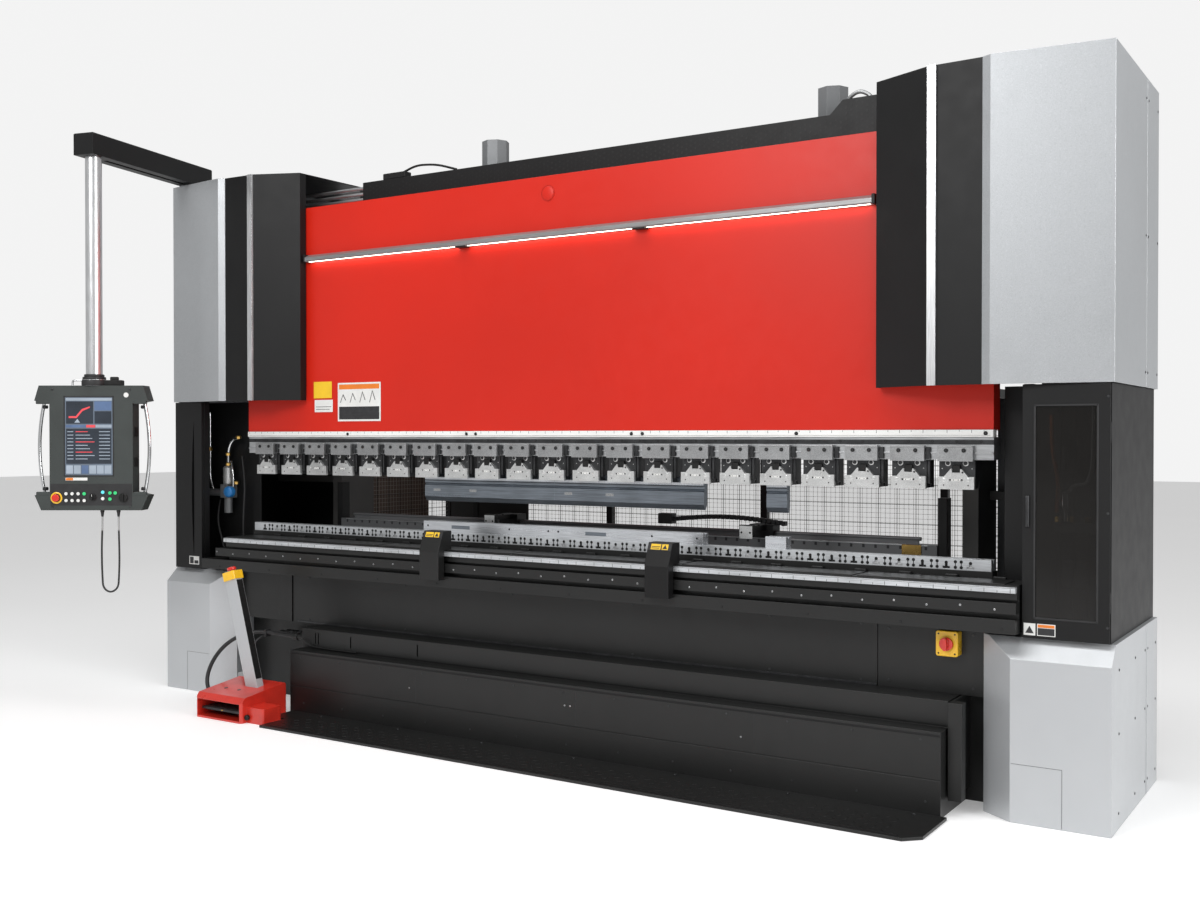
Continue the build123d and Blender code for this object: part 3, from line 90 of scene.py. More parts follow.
def finish(name, colour, rough, metal=0.0, tone=0.1, tone_scale=1.6, speckle=0.0, grain=900.0,
           bump=0.0, stretch=(1, 1, 1), coat=0.0, edge_wear_and_highlight=0.0, ease=0.0, glow=0.0, alpha=1.0,
           shine=0.5):
    """A surface with slow changes of tone, fine grain, dull and bright patches, and edges lightened
    towards a brighter copy of its colour, partly wear and partly a painted highlight.

    tone and speckle are shares of the colour, ease is the radius of softened edges, and stretch
    draws the grain out along one direction, as brushing does.
    """
    material = bpy.data.materials.new(name)
    material.use_nodes = True
    tree = material.node_tree
    shader = tree.nodes["Principled BSDF"]
    place = tree.nodes.new("ShaderNodeTexCoord").outputs["Object"]
    mapping = tree.nodes.new("ShaderNodeMapping")
    mapping.inputs["Scale"].default_value = stretch
    tree.links.new(place, mapping.inputs["Vector"])
    drawn = mapping.outputs["Vector"]

    base = link_ramp(tree, link_noise(tree, place, tone_scale),
                     [shade(colour, 1 - tone), colour, shade(colour, 1 + tone)])
    fine = link_noise(tree, drawn, grain, 2.0)
    if speckle:
        dots = link_ramp(tree, fine, [(1 - speckle,) * 3, (1 + speckle,) * 3], 0.35, 0.65)
        base = link_mix(tree, 1.0, base, dots, "MULTIPLY")
    if ease or edge_wear_and_highlight:
        bevel = tree.nodes.new("ShaderNodeBevel")
        bevel.samples = 4
        bevel.inputs["Radius"].default_value = ease or 0.002
    # edges are mixed towards a brighter copy of the colour: partly rubbed wear, partly a painted
    # highlight
    if edge_wear_and_highlight:
        angle = tree.nodes.new("ShaderNodeVectorMath")
        angle.operation = "DOT_PRODUCT"
        geometry = tree.nodes.new("ShaderNodeNewGeometry")
        tree.links.new(bevel.outputs[0], angle.inputs[0])
        tree.links.new(geometry.outputs["Normal"], angle.inputs[1])
        worn_and_lit_edges = link_ramp(tree, angle.outputs["Value"], [(edge_wear_and_highlight,) * 3, (0.0,) * 3], 0.85, 0.97)
        base = link_mix(tree, worn_and_lit_edges, base, (*shade(colour, 2.2), 1))
    tree.links.new(base, shader.inputs["Base Color"])

    patches = tree.nodes.new("ShaderNodeMapRange")
    patches.inputs["To Min"].default_value = max(0.03, rough - 0.07)
    patches.inputs["To Max"].default_value = min(1.0, rough + 0.07)
    tree.links.new(link_noise(tree, drawn, 14.0), patches.inputs["Value"])
    tree.links.new(patches.outputs["Result"], shader.inputs["Roughness"])
    normal = bevel.outputs[0] if ease else None
    if bump:
        relief = tree.nodes.new("ShaderNodeBump")
        relief.inputs["Strength"].default_value = bump
        relief.inputs["Distance"].default_value = 0.0004
        tree.links.new(fine, relief.inputs["Height"])
        if normal:
            tree.links.new(normal, relief.inputs["Normal"])
        normal = relief.outputs["Normal"]
    if normal:
        tree.links.new(normal, shader.inputs["Normal"])
    shader.inputs["Metallic"].default_value = metal
    shader.inputs["Specular IOR Level"].default_value = shine
    shader.inputs["Coat Weight"].default_value = coat
    shader.inputs["Coat Roughness"].default_value = 0.12
    if glow:
        tree.links.new(base, shader.inputs["Emission Color"])
        shader.inputs["Emission Strength"].default_value = glow
    if alpha < 1:
        shader.inputs["Alpha"].default_value = alpha
    return material


RED = (0.56, 0.015, 0.005)
SILVER = (0.44, 0.455, 0.47)
BLACK = (0.0065, 0.0065, 0.0068)
red_paint = finish("red_paint", RED, 0.36, tone=0.07, tone_scale=0.7, speckle=0.05, bump=0.05,
                   shine=0.35, edge_wear_and_highlight=0.10, ease=0.003)
silver_paint = finish("silver_paint", SILVER, 0.42, 0.55, tone=0.05, tone_scale=0.8, speckle=0.16,
                      grain=520, bump=0.08, edge_wear_and_highlight=0.25, ease=0.004)
silver_plain = finish("silver_plain", (0.50, 0.515, 0.53), 0.40, 0.45, tone=0.05, speckle=0.12,
                      bump=0.06, edge_wear_and_highlight=0.2, ease=0.004)
black_powder = finish("black_powder", BLACK, 0.45, tone=0.25, speckle=0.35, grain=700, bump=0.22,
                      shine=0.28, edge_wear_and_highlight=0.55, ease=0.003)
black_sheet = finish("black_sheet", (0.010, 0.0102, 0.010), 0.38, tone=0.3, tone_scale=0.9,
                     speckle=0.2, bump=0.12, shine=0.4, edge_wear_and_highlight=0.6, ease=0.003)
grey_frame = finish("grey_frame", (0.055, 0.054, 0.052), 0.5, tone=0.2, speckle=0.15, bump=0.1,
                    edge_wear_and_highlight=0.3, ease=0.004)
grey_panel = finish("grey_panel", (0.16, 0.165, 0.17), 0.45, 0.3, tone=0.15, speckle=0.12,
                    bump=0.08, edge_wear_and_highlight=0.3, ease=0.003)
ground_steel = finish("ground_steel", (0.50, 0.51, 0.52), 0.30, 0.9, tone=0.14, tone_scale=5,
                      speckle=0.22, grain=160, bump=0.05, stretch=(0.05, 1, 3), edge_wear_and_highlight=0.4,
                      ease=0.0015)
rail_steel = finish("rail_steel", (0.60, 0.62, 0.64), 0.34, 0.75, tone=0.12, tone_scale=6,
                    speckle=0.16, grain=200, bump=0.05, stretch=(0.05, 1, 3), ease=0.0015)
tool_steel = finish("tool_steel", (0.20, 0.225, 0.255), 0.30, 0.85, tone=0.16, tone_scale=4,
                    speckle=0.2, grain=220, bump=0.05, stretch=(0.04, 1, 2), edge_wear_and_highlight=0.5, ease=0.0015)
die_steel = finish("die_steel", (0.62, 0.64, 0.67), 0.28, 0.85, tone=0.1, tone_scale=4,
                   speckle=0.14, grain=220, bump=0.04, stretch=(0.04, 1, 2), edge_wear_and_highlight=0.3, ease=0.0015)
dark_steel = finish("dark_steel", (0.045, 0.046, 0.048), 0.38, 0.7, tone=0.3, tone_scale=20,
                    speckle=0.3, grain=300, bump=0.08, edge_wear_and_highlight=0.8, ease=0.001)
holder_plate = finish("holder_plate", (0.34, 0.345, 0.35), 0.40, 0.75, tone=0.14, tone_scale=9,
                      speckle=0.2, grain=260, bump=0.06, edge_wear_and_highlight=0.5, ease=0.0015)
clamp_steel = finish("clamp_steel", (0.66, 0.665, 0.66), 0.30, 0.8, tone=0.12, tone_scale=12,
                     speckle=0.15, grain=300, bump=0.05, edge_wear_and_highlight=0.3, ease=0.0015)
chrome = finish("chrome", (0.78, 0.79, 0.80), 0.12, 1.0, tone=0.05, speckle=0.05, ease=0.001)
brushed_alloy = finish("brushed_alloy", (0.72, 0.73, 0.74), 0.30, 0.85, tone=0.06, tone_scale=3,
                       speckle=0.12, grain=240, bump=0.04, stretch=(1, 1, 0.04), ease=0.0015)
wire_brown = finish("wire_brown", (0.36, 0.34, 0.32), 0.45, 0.5, tone=0.1, tone_scale=4,
                    speckle=0.1)
brown_sheet = finish("brown_sheet", (0.085, 0.060, 0.045), 0.5, tone=0.15, tone_scale=2,
                     speckle=0.1, bump=0.05)
grey_alloy = finish("grey_alloy", (0.30, 0.30, 0.30), 0.38, 0.7, tone=0.08, tone_scale=3,
                    speckle=0.12, grain=240, bump=0.04, stretch=(0.04, 1, 1), ease=0.0015)
brass = finish("brass", (0.62, 0.40, 0.12), 0.28, 0.95, tone=0.15, tone_scale=20, speckle=0.1)
scale_paint = finish("scale_paint", (0.80, 0.80, 0.78), 0.42, tone=0.05, tone_scale=6,
                     speckle=0.05, bump=0.03, ease=0.001)
ink = finish("ink", (0.02, 0.02, 0.022), 0.55, tone=0.3, tone_scale=30, speckle=0.2)
socket_black = finish("socket_black", (0.010, 0.010, 0.010), 0.48, 0.4, tone=0.4, tone_scale=60,
                      speckle=0.2, bump=0.05)
white_light = finish("white_light", (1.0, 0.90, 0.76), 0.5, tone=0.03, tone_scale=3, glow=7.0)
case_plastic = finish("case_plastic", (0.030, 0.036, 0.034), 0.50, tone=0.2, tone_scale=5,
                      speckle=0.3, grain=1100, bump=0.25, edge_wear_and_highlight=0.4, ease=0.004)
soft_black = finish("soft_black", (0.014, 0.014, 0.015), 0.55, tone=0.3, tone_scale=20,
                    speckle=0.25, grain=1300, bump=0.2, ease=0.001)
yellow_gloss = finish("yellow_gloss", (0.86, 0.50, 0.015), 0.28, tone=0.08, tone_scale=14,
                      speckle=0.05, bump=0.04, coat=0.3, edge_wear_and_highlight=0.2, ease=0.002)
red_gloss = finish("red_gloss", (0.62, 0.022, 0.012), 0.24, tone=0.1, tone_scale=14, speckle=0.06,
                   bump=0.04, coat=0.4, edge_wear_and_highlight=0.15, ease=0.002)
cast_red = finish("cast_red", (0.56, 0.028, 0.016), 0.30, tone=0.12, tone_scale=9, speckle=0.12,
                  grain=420, bump=0.35, coat=0.3, edge_wear_and_highlight=0.3, ease=0.004)
label_white = finish("label_white", (0.72, 0.72, 0.70), 0.5, tone=0.06, tone_scale=12,
                     speckle=0.05)
label_yellow = finish("label_yellow", (0.80, 0.50, 0.02), 0.45, tone=0.06, tone_scale=12,
                      speckle=0.05)
label_orange = finish("label_orange", (0.75, 0.20, 0.02), 0.45, tone=0.06, tone_scale=12,
                      speckle=0.05)
key_white = finish("key_white", (0.72, 0.72, 0.70), 0.35, tone=0.08, tone_scale=40, speckle=0.04)
key_green = finish("key_green", (0.03, 0.42, 0.14), 0.3, tone=0.1, tone_scale=40, speckle=0.04,
                   glow=0.6)
key_cyan = finish("key_cyan", (0.10, 0.55, 0.62), 0.3, tone=0.1, tone_scale=40, speckle=0.04,
                  glow=0.6)
screen_back = finish("screen_back", (0.10, 0.125, 0.16), 0.16, tone=0.2, tone_scale=4,
                     speckle=0.04, coat=0.5, glow=0.5)
screen_dark = finish("screen_dark", (0.018, 0.024, 0.034), 0.16, tone=0.2, tone_scale=9,
                     speckle=0.04, coat=0.5, glow=0.4)
screen_pale = finish("screen_pale", (0.24, 0.28, 0.33), 0.16, tone=0.12, tone_scale=9,
                     speckle=0.04, coat=0.5, glow=0.5)
screen_blue = finish("screen_blue", (0.07, 0.11, 0.20), 0.16, tone=0.2, tone_scale=9,
                     speckle=0.04, coat=0.5, glow=0.5)
screen_red = finish("screen_red", (0.50, 0.05, 0.06), 0.16, tone=0.15, tone_scale=9,
                    speckle=0.04, coat=0.5, glow=0.8)
smoked = finish("smoked", (0.010, 0.009, 0.008), 0.06, tone=0.1, tone_scale=3, shine=0.35,
                alpha=0.74)
valve_blue = finish("valve_blue", (0.02, 0.16, 0.42), 0.35, tone=0.12, tone_scale=20, speckle=0.1)
cable_black = finish("cable_black", (0.013, 0.013, 0.014), 0.48, tone=0.25, tone_scale=8,
                     speckle=0.25, grain=800, bump=0.18)


def cord_sleeve():
    """Pale braid near the panel that turns into a black sleeve lower down."""
    material = finish("cord_sleeve", (0.016, 0.016, 0.017), 0.5, tone=0.2, speckle=0.25,
                      grain=800, bump=0.15)
    tree = material.node_tree
    shader = tree.nodes["Principled BSDF"]
    base = shader.inputs["Base Color"].links[0].from_socket
    place = tree.nodes.new("ShaderNodeTexCoord").outputs["Object"]
    split = tree.nodes.new("ShaderNodeSeparateXYZ")
    tree.links.new(place, split.inputs[0])
    sleeve_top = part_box("pendant_cord")[1].z - 0.11
    height = tree.nodes.new("ShaderNodeMapRange")
    height.inputs["From Min"].default_value = sleeve_top - 0.004
    height.inputs["From Max"].default_value = sleeve_top + 0.004
    tree.links.new(split.outputs["Z"], height.inputs["Value"])
    braid = link_ramp(tree, link_noise(tree, place, 700), [(0.20,) * 3, (0.55,) * 3])
    colour = link_mix(tree, height.outputs["Result"], base, braid)
    tree.links.new(colour, shader.inputs["Base Color"])
    return material


def floor_finish():
    """Plain pale studio floor."""
    return finish("studio_floor", (0.88, 0.88, 0.88), 0.6, tone=0.01, tone_scale=0.4, glow=0.26)


# ---- CAD nodes get their finish ----------------------------------------------------------------
def dress(material, *nodes):
    """Give CAD nodes a finish."""
    for node in nodes:
        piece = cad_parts[node]
        if not piece.material_slots:
            piece.data.materials.append(material)
        for place in piece.material_slots:
            place.material = material


def dress_part(node, material, chosen):
    """Give another finish to those solids of a node whose faces' centres are chosen."""
    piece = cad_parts[node]
    piece.data.materials.append(material)
    last = len(piece.material_slots) - 1
    for face in piece.data.polygons:
        if chosen(face.center):
            face.material_index = last


dress(red_paint, "ram")
dress(silver_paint, "left_upper_cover", "right_upper_cover")
dress(silver_plain, "left_lower_cover", "right_lower_cover")
dress(black_powder, "fairings", "left_middle_guard", "right_middle_guard", "left_guard_door",
      "right_guard_door", "pendant_arm", "rear_guard", "top_guard", "gauge_carriages",
      "left_finger", "right_finger", "right_sheet_support")
dress(black_sheet, "lower_beam", "table_front_plates", "rail_carrier", "lower_front_box",
      "floor_plate", "left_sheet_support")
dress(grey_frame, "left_side_frame", "right_side_frame", "cross_beams", "oil_tank",
      "hydraulic_cylinders")
dress(grey_panel, "electrical_cabinet", "gauge_beam", "air_units")
dress(ground_steel, "clamp_rail", "levelling_feet")
dress(rail_steel, "die_rail", "support_rail")
dress(brushed_alloy, "trim_strips", "pendant_post")
dress(grey_alloy, "light_bar")
dress(tool_steel, "punches")
dress(die_steel, "dies")
dress(dark_steel, "holder_bodies", "foot_treadle")
dress(clamp_steel, "holder_clamps")
dress(chrome, "piston_rods", "guide_rails", "pendant_handles")
dress(scale_paint, "scale_bar")
dress(yellow_gloss, "isolator_box")
dress(red_gloss, "isolator_knob", "pendant_stop_button", "foot_stop_button")
dress(case_plastic, "pendant_case")
dress(screen_back, "pendant_screen")
dress(key_white, "pendant_keys")
dress(cast_red, "foot_switch_base")
dress(silver_plain, "foot_post")
dress(smoked, "door_window")

guard_top = 2.885                  # the tank's faces above this height are grey
head_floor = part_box("foot_post")[1].z - 0.085
dress_part("oil_tank", grey_panel, lambda spot: spot.z > guard_top)
dress_part("foot_post", yellow_gloss, lambda spot: spot.z > head_floor)
holder_low, holder_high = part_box("holder_bodies")
holder_face = -0.050                # front of the holders' bodies, behind their plates
dress_part("holder_bodies", holder_plate, lambda spot: spot.y < holder_face - 0.002)


# ---- solid building ----------------------------------------------------------------------------
class Shape:
    """A mesh built up from eased boxes, turned parts, prisms and tubes, which can share finishes."""

    def __init__(self, place=None):
        self.place = place or Matrix.Identity(4)
        self.points = []
        self.faces = []
        self.tints = []
        self.tint = 0

    def add(self, points, faces):
        start = len(self.points)
        self.points += [self.place @ Vector(point) for point in points]
        self.faces += [[start + corner for corner in face] for face in faces]
        self.tints += [self.tint] * len(faces)

    def box(self, low, high, ease=0.001):
        """A cuboid between two corners, with its edges cut back by ease."""
        low, high = Vector(low), Vector(high)
        half = (high - low) / 2
        middle = (high + low) / 2
        ease = min(ease, 0.45 * min(half))
        points = []
        for corner in range(8):
            signs = [1 if corner >> axis & 1 else -1 for axis in range(3)]
            for kind in range(3):
                points.append(middle + Vector([
                    signs[axis] * (half[axis] - (0 if axis == kind else ease))
                    for axis in range(3)]))
        faces = [[3 * corner + kind for kind in range(3)] for corner in range(8)]
        for axis in range(3):
            first, second = (axis + 1) % 3, (axis + 2) % 3
            for side in (0, 1):
                base = side << axis
                ring = [base, base | 1 << first, base | 1 << first | 1 << second,
                        base | 1 << second]
                faces.append([3 * corner + axis for corner in ring])
            for spread in range(4):
                base = (spread & 1) << first | (spread >> 1) << second
                near, far = base, base | 1 << axis
                faces.append([3 * near + first, 3 * far + first, 3 * far + second,
                              3 * near + second])
        self.add(points, faces)

    def turned(self, profile, base, axis, sides=16):
        """A turned part: profile lists (radius, distance along the axis) from its base out."""
        axis = Vector(axis).normalized()
        across = axis.orthogonal().normalized()
        up = axis.cross(across)
        base = Vector(base)
        points, faces = [], []
        for radius, reach in profile:
            for step in range(sides):
                turn = 2 * math.pi * step / sides
                spoke = across * math.cos(turn) + up * math.sin(turn)
                points.append(base + axis * reach + spoke * max(radius, 1e-5))
        for ring in range(len(profile) - 1):
            for step in range(sides):
                ahead = (step + 1) % sides
                faces.append([ring * sides + step, ring * sides + ahead,
                              (ring + 1) * sides + ahead, (ring + 1) * sides + step])
        last = (len(profile) - 1) * sides
        faces.append(list(range(sides)))
        faces.append([last + step for step in range(sides)])
        self.add(points, faces)

    def prism(self, outline, base, across, up, depth):
        """An outline of (across, up) points, pushed out by depth along across x up."""
        across, up, base = Vector(across), Vector(up), Vector(base)
        out = across.cross(up).normalized() * depth
        flat = [base + across * x + up * y for x, y in outline]
        count = len(outline)
        faces = [list(range(count)), [count + number for number in range(count)]]
        for number in range(count):
            ahead = (number + 1) % count
            faces.append([number, ahead, count + ahead, count + number])
        self.add(flat + [point + out for point in flat], faces)

    def tube(self, spots, radius, sides=10):
        """A tube along a list of points, with its corners rounded off."""
        spots = [Vector(spot) for spot in spots]
        path = [spots[0]]
        for before, corner, after in zip(spots, spots[1:], spots[2:]):
            cut = 0.45 * min((corner - before).length, (after - corner).length)
            enter = corner + (before - corner).normalized() * cut
            leave = corner + (after - corner).normalized() * cut
            for step in range(6):
                share = step / 5
                path.append((1 - share) ** 2 * enter + 2 * share * (1 - share) * corner
                            + share ** 2 * leave)
        path.append(spots[-1])
        points, faces = [], []
        heading = (path[1] - path[0]).normalized()
        side = heading.orthogonal().normalized()
        for number, spot in enumerate(path):
            ahead = path[min(number + 1, len(path) - 1)]
            behind = path[max(number - 1, 0)]
            heading = (ahead - behind).normalized()
            side = (side - heading * side.dot(heading)).normalized()
            up = heading.cross(side)
            for step in range(sides):
                turn = 2 * math.pi * step / sides
                points.append(spot + (side * math.cos(turn) + up * math.sin(turn)) * radius)
        for ring in range(len(path) - 1):
            for step in range(sides):
                ahead = (step + 1) % sides
                faces.append([ring * sides + step, ring * sides + ahead,
                              (ring + 1) * sides + ahead, (ring + 1) * sides + step])
        last = (len(path) - 1) * sides
        faces += [list(range(sides)), [last + step for step in range(sides)]]
        self.add(points, faces)

    def done(self, name, body, slot, *materials):
        """Make the piece with the given finishes and let it ride on its body; slot, the name of its
        finish, is not used.
        """
        mesh = bpy.data.meshes.new(name)
        mesh.from_pydata(self.points, [], self.faces)
        for face, tint in zip(mesh.polygons, self.tints):
            face.material_index = tint
        shell = bmesh.new()
        shell.from_mesh(mesh)
        bmesh.ops.recalc_face_normals(shell, faces=shell.faces)
        shell.to_mesh(mesh)
        shell.free()
        for material in materials:
            mesh.materials.append(material)
        mesh.shade_smooth()
        mesh.set_sharp_from_angle(angle=math.radians(32))
        piece = bpy.data.objects.new(name, mesh)
        bpy.context.scene.collection.objects.link(piece)
        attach(piece, body)
        return piece


def socket_screw(shape, spot, axis, radius, height, head=0, recess=1):
    """A cap screw: a chamfered head with a dark hexagon in it."""
    shape.tint = head
    shape.turned([(radius * 0.94, 0), (radius, height * 0.2), (radius, height * 0.8),
                  (radius * 0.88, height)], spot, axis, 14)
    shape.tint = recess
    face = Vector(spot) + Vector(axis).normalized() * height
    shape.turned([(radius * 0.48, -0.0002), (radius * 0.48, 0.0004)], face, axis, 6)
    shape.tint = 0


def spread(start, end, count):
    """Evenly spaced numbers from start to end."""
    return [start + (end - start) * number / (count - 1) for number in range(count)]


# ---- camera and cords --------------------------------------------------------------------------
EYE = (3.590, -5.196, 1.477)
FACING = math.radians(32.8)
camera_data = bpy.data.cameras.new("camera")
camera_data.sensor_width = 36
camera_data.lens = 38.30
camera = bpy.data.objects.new("camera", camera_data)
camera.location = EYE
camera.rotation_euler = (math.radians(89.39), 0, FACING)
bpy.context.scene.collection.objects.link(camera)
bpy.context.scene.camera = camera


def free_cord(name, route, diameter, body, material):
    """A cord whose smooth line has the route's points as its control points."""
    line = bpy.data.curves.new(name, "CURVE")
    line.dimensions = "3D"
    line.bevel_depth = diameter / 2
    line.bevel_resolution = 5
    line.resolution_u = 14
    line.use_fill_caps = True
    spline = line.splines.new("NURBS")
    spline.points.add(len(route) - 1)
    for point, spot in zip(spline.points, route):
        point.co = (*spot, 1)
    spline.order_u = 3
    spline.use_endpoint_u = True
    line.materials.append(material)
    piece = bpy.data.objects.new(name, line)
    bpy.context.scene.collection.objects.link(piece)
    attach(piece, body)
    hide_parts(name)
    return piece


foot_cable_route = [
    (-1.640, -0.200, 0.375), (-1.720, -0.200, 0.375), (-1.812, -0.218, 0.386),
    (-1.905, -0.260, 0.384), (-1.990, -0.308, 0.352), (-2.060, -0.345, 0.290),
    (-2.110, -0.375, 0.205), (-2.118, -0.402, 0.118), (-2.072, -0.418, 0.050),
    (-1.995, -0.428, 0.022), (-1.918, -0.430, 0.034), (-1.848, -0.430, 0.034),
]
switch_cable_route = [
    (-1.640, -0.150, 0.375), (-1.702, -0.150, 0.375), (-1.772, -0.168, 0.383),
    (-1.840, -0.205, 0.376), (-1.884, -0.248, 0.340), (-1.896, -0.272, 0.284),
    (-1.886, -0.278, 0.226), (-1.860, -0.278, 0.172), (-1.824, -0.278, 0.129),
    (-1.784, -0.279, 0.100), (-1.750, -0.291, 0.089), (-1.726, -0.314, 0.086),
    (-1.712, -0.346, 0.086), (-1.712, -0.380, 0.086),
]
# the pendant's cord, as (across, down) from the middle of the case's underside
pendant_cord_route = [
    (0.040, 0), (0.040, 0.084), (0.036, 0.184), (0.036, 0.278), (0.039, 0.356),
    (0.042, 0.417), (0.082, 0.443), (0.123, 0.417), (0.127, 0.355), (0.130, 0.276),
    (0.129, 0.182), (0.126, 0.083), (0.126, 0),
]
post_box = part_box("pendant_post")
post_axis = (post_box[0] + post_box[1]) / 2
case_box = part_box("pendant_case")
case_height = case_box[1].z - case_box[0].z
case_middle = Vector((post_axis.x, post_axis.y, case_box[1].z - case_height / 2))
ACROSS = Vector((math.cos(FACING), math.sin(FACING), 0))
TOWARDS = Vector((math.sin(FACING), -math.cos(FACING), 0))
UP = Vector((0, 0, 1))
panel = Matrix.Translation(case_middle) @ Matrix((ACROSS, UP, TOWARDS)).transposed().to_4x4()
case_front = 0.0475
half_height = case_height / 2

free_cord("foot_cable", foot_cable_route, 0.022, "frame", cable_black)
free_cord("switch_cable", switch_cable_route, 0.014, "frame", cable_black)
free_cord("pendant_cord", [panel @ Vector((x, -half_height - y, 0))
                           for x, y in pendant_cord_route], 0.010, "pendant",
          cord_sleeve())


# ---- ram, scale and light ----------------------------------------------------------------------
ram_low, ram_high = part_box("ram")
scale_low, scale_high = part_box("scale_bar")
rail_low, rail_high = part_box("clamp_rail")
light_low, light_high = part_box("light_bar")


def ram_details():
    shape = Shape()
    for number in range(int(ram_high.x * 2 / 0.05) + 1):
        x = ram_low.x + 0.0125 + number * 0.05
        tall = number % 2 == 0
        if x < ram_high.x - 0.01:
            shape.box((x, scale_low.y - 0.0006, scale_high.z - (0.013 if tall else 0.008)),
                      (x + 0.0016, scale_low.y + 0.0004, scale_high.z - 0.001), 0.0002)
    shape.box((ram_low.x + 0.01, scale_low.y - 0.0006, scale_low.z + 0.0062),
              (ram_high.x - 0.01, scale_low.y + 0.0004, scale_low.z + 0.0072), 0.0002)
    shape.done("scale_marks", "ram", "black_paint", ink)

    screws = Shape()
    for x in (-1.36, -0.53, -0.47, 0.46, 0.52, 1.30, 2.12):
        socket_screw(screws, (x, scale_low.y, (scale_low.z + scale_high.z) / 2), FRONT,
                     0.0085, 0.003)
    for x in spread(rail_low.x + 0.05, rail_high.x - 0.05, 43):
        socket_screw(screws, (x, rail_low.y, rail_high.z - 0.018), FRONT, 0.006, 0.0025)
    screws.done("ram_screws", "ram", "steel", socket_black, ink)

    ledge = Shape()
    ledge.box((rail_low.x, rail_low.y - 0.004, rail_high.z - 0.010),
              (rail_high.x, rail_low.y + 0.001, rail_high.z - 0.001), 0.001)
    ledge.box((rail_low.x, rail_low.y - 0.006, rail_low.z + 0.024),
              (rail_high.x, rail_low.y + 0.001, rail_low.z + 0.031), 0.001)
    ledge.tint = 1
    ledge.box((rail_low.x, rail_low.y - 0.002, rail_low.z + 0.062),
              (rail_high.x, rail_low.y + 0.001, rail_high.z - 0.012), 0.001)
    ledge.done("clamp_rail_lips", "ram", "steel", ground_steel, dark_steel)

    light = Shape()
    light.box((light_low.x + 0.022, light_high.y - 0.029, light_low.z + 0.001),
              (light_high.x - 0.022, light_high.y - 0.009, light_low.z + 0.006), 0.001)
    light.done("light_tube", "ram", "bright_rail", white_light)
    clips = Shape()
    for x in (-0.547, 0.515):
        clips.box((x - 0.035, light_low.y + 0.004, light_low.z - 0.006),
                  (x + 0.035, light_high.y - 0.001, light_low.z + 0.002), 0.0015)
    clips.box((light_low.x - 0.004, light_low.y - 0.001, light_low.z - 0.001),
              (light_low.x + 0.010, light_high.y, light_high.z + 0.001), 0.001)
    clips.box((light_high.x - 0.010, light_low.y - 0.001, light_low.z - 0.001),
              (light_high.x + 0.004, light_high.y, light_high.z + 0.001), 0.001)
    clips.done("light_bar_clips", "ram", "black_paint", socket_black)

    plug = Shape()
    centre = Vector((-0.023, ram_low.y, ram_high.z - 0.087))
    plug.turned([(0.034, 0), (0.034, 0.0015), (0.030, 0.003), (0.010, 0.0042), (0.0, 0.0045)],
                centre, FRONT, 40)
    plug.done("ram_plug", "ram", "red_paint", red_paint)


def ram_labels():
    """Blank labels at the lower left of the ram, with pictures of plain bends and no words."""
    y = ram_low.y

    def plate(shape, x_span, z_span, proud=0.0006):
        shape.box((x_span[0], y - proud, z_span[0]), (x_span[1], y + 0.0005, z_span[1]), 0.0003)

    shape = Shape()
    plate(shape, (-1.622, -1.484), (1.689, 1.781))
    shape.tint = 1
    plate(shape, (-1.615, -1.477), (1.612, 1.680))
    plate(shape, (-1.438, -1.122), (1.560, 1.771))
    shape.tint = 2
    plate(shape, (-1.428, -1.132), (1.570, 1.640), 0.0009)
    plate(shape, (-1.605, -1.487), (1.640, 1.643), 0.0009)
    plate(shape, (-1.605, -1.500), (1.626, 1.629), 0.0009)
    for row in range(4):
        plate(shape, (-1.420, -1.150 - 0.012 * row), (1.581 + row * 0.014, 1.5835 + row * 0.014),
              0.0012)
    for number in range(4):
        left = -1.420 + number * 0.072
        fold = 0.010 + number * 0.006
        outline = [(0, 0), (0.004, 0), (0.022, 0.030 + fold), (0.040, 0.012), (0.044, 0.014),
                   (0.022, 0.038 + fold)]
        shape.prism(outline, (left, y - 0.0009, 1.662), (1, 0, 0), (0, 0, 1), 0.0004)
    shape.tint = 3
    plate(shape, (-1.428, -1.132), (1.735, 1.762), 0.0009)
    shape.done("ram_labels", "ram", "scale_white", label_yellow, label_white, ink, label_orange)


# ---- tool holders ------------------------------------------------------------------------------
HOLDERS = 21
PITCH = (holder_high.x - holder_low.x - 0.148) / (HOLDERS - 1)
holder_places = [holder_low.x + 0.074 + number * PITCH for number in range(HOLDERS)]
clamp_low, clamp_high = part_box("holder_clamps")


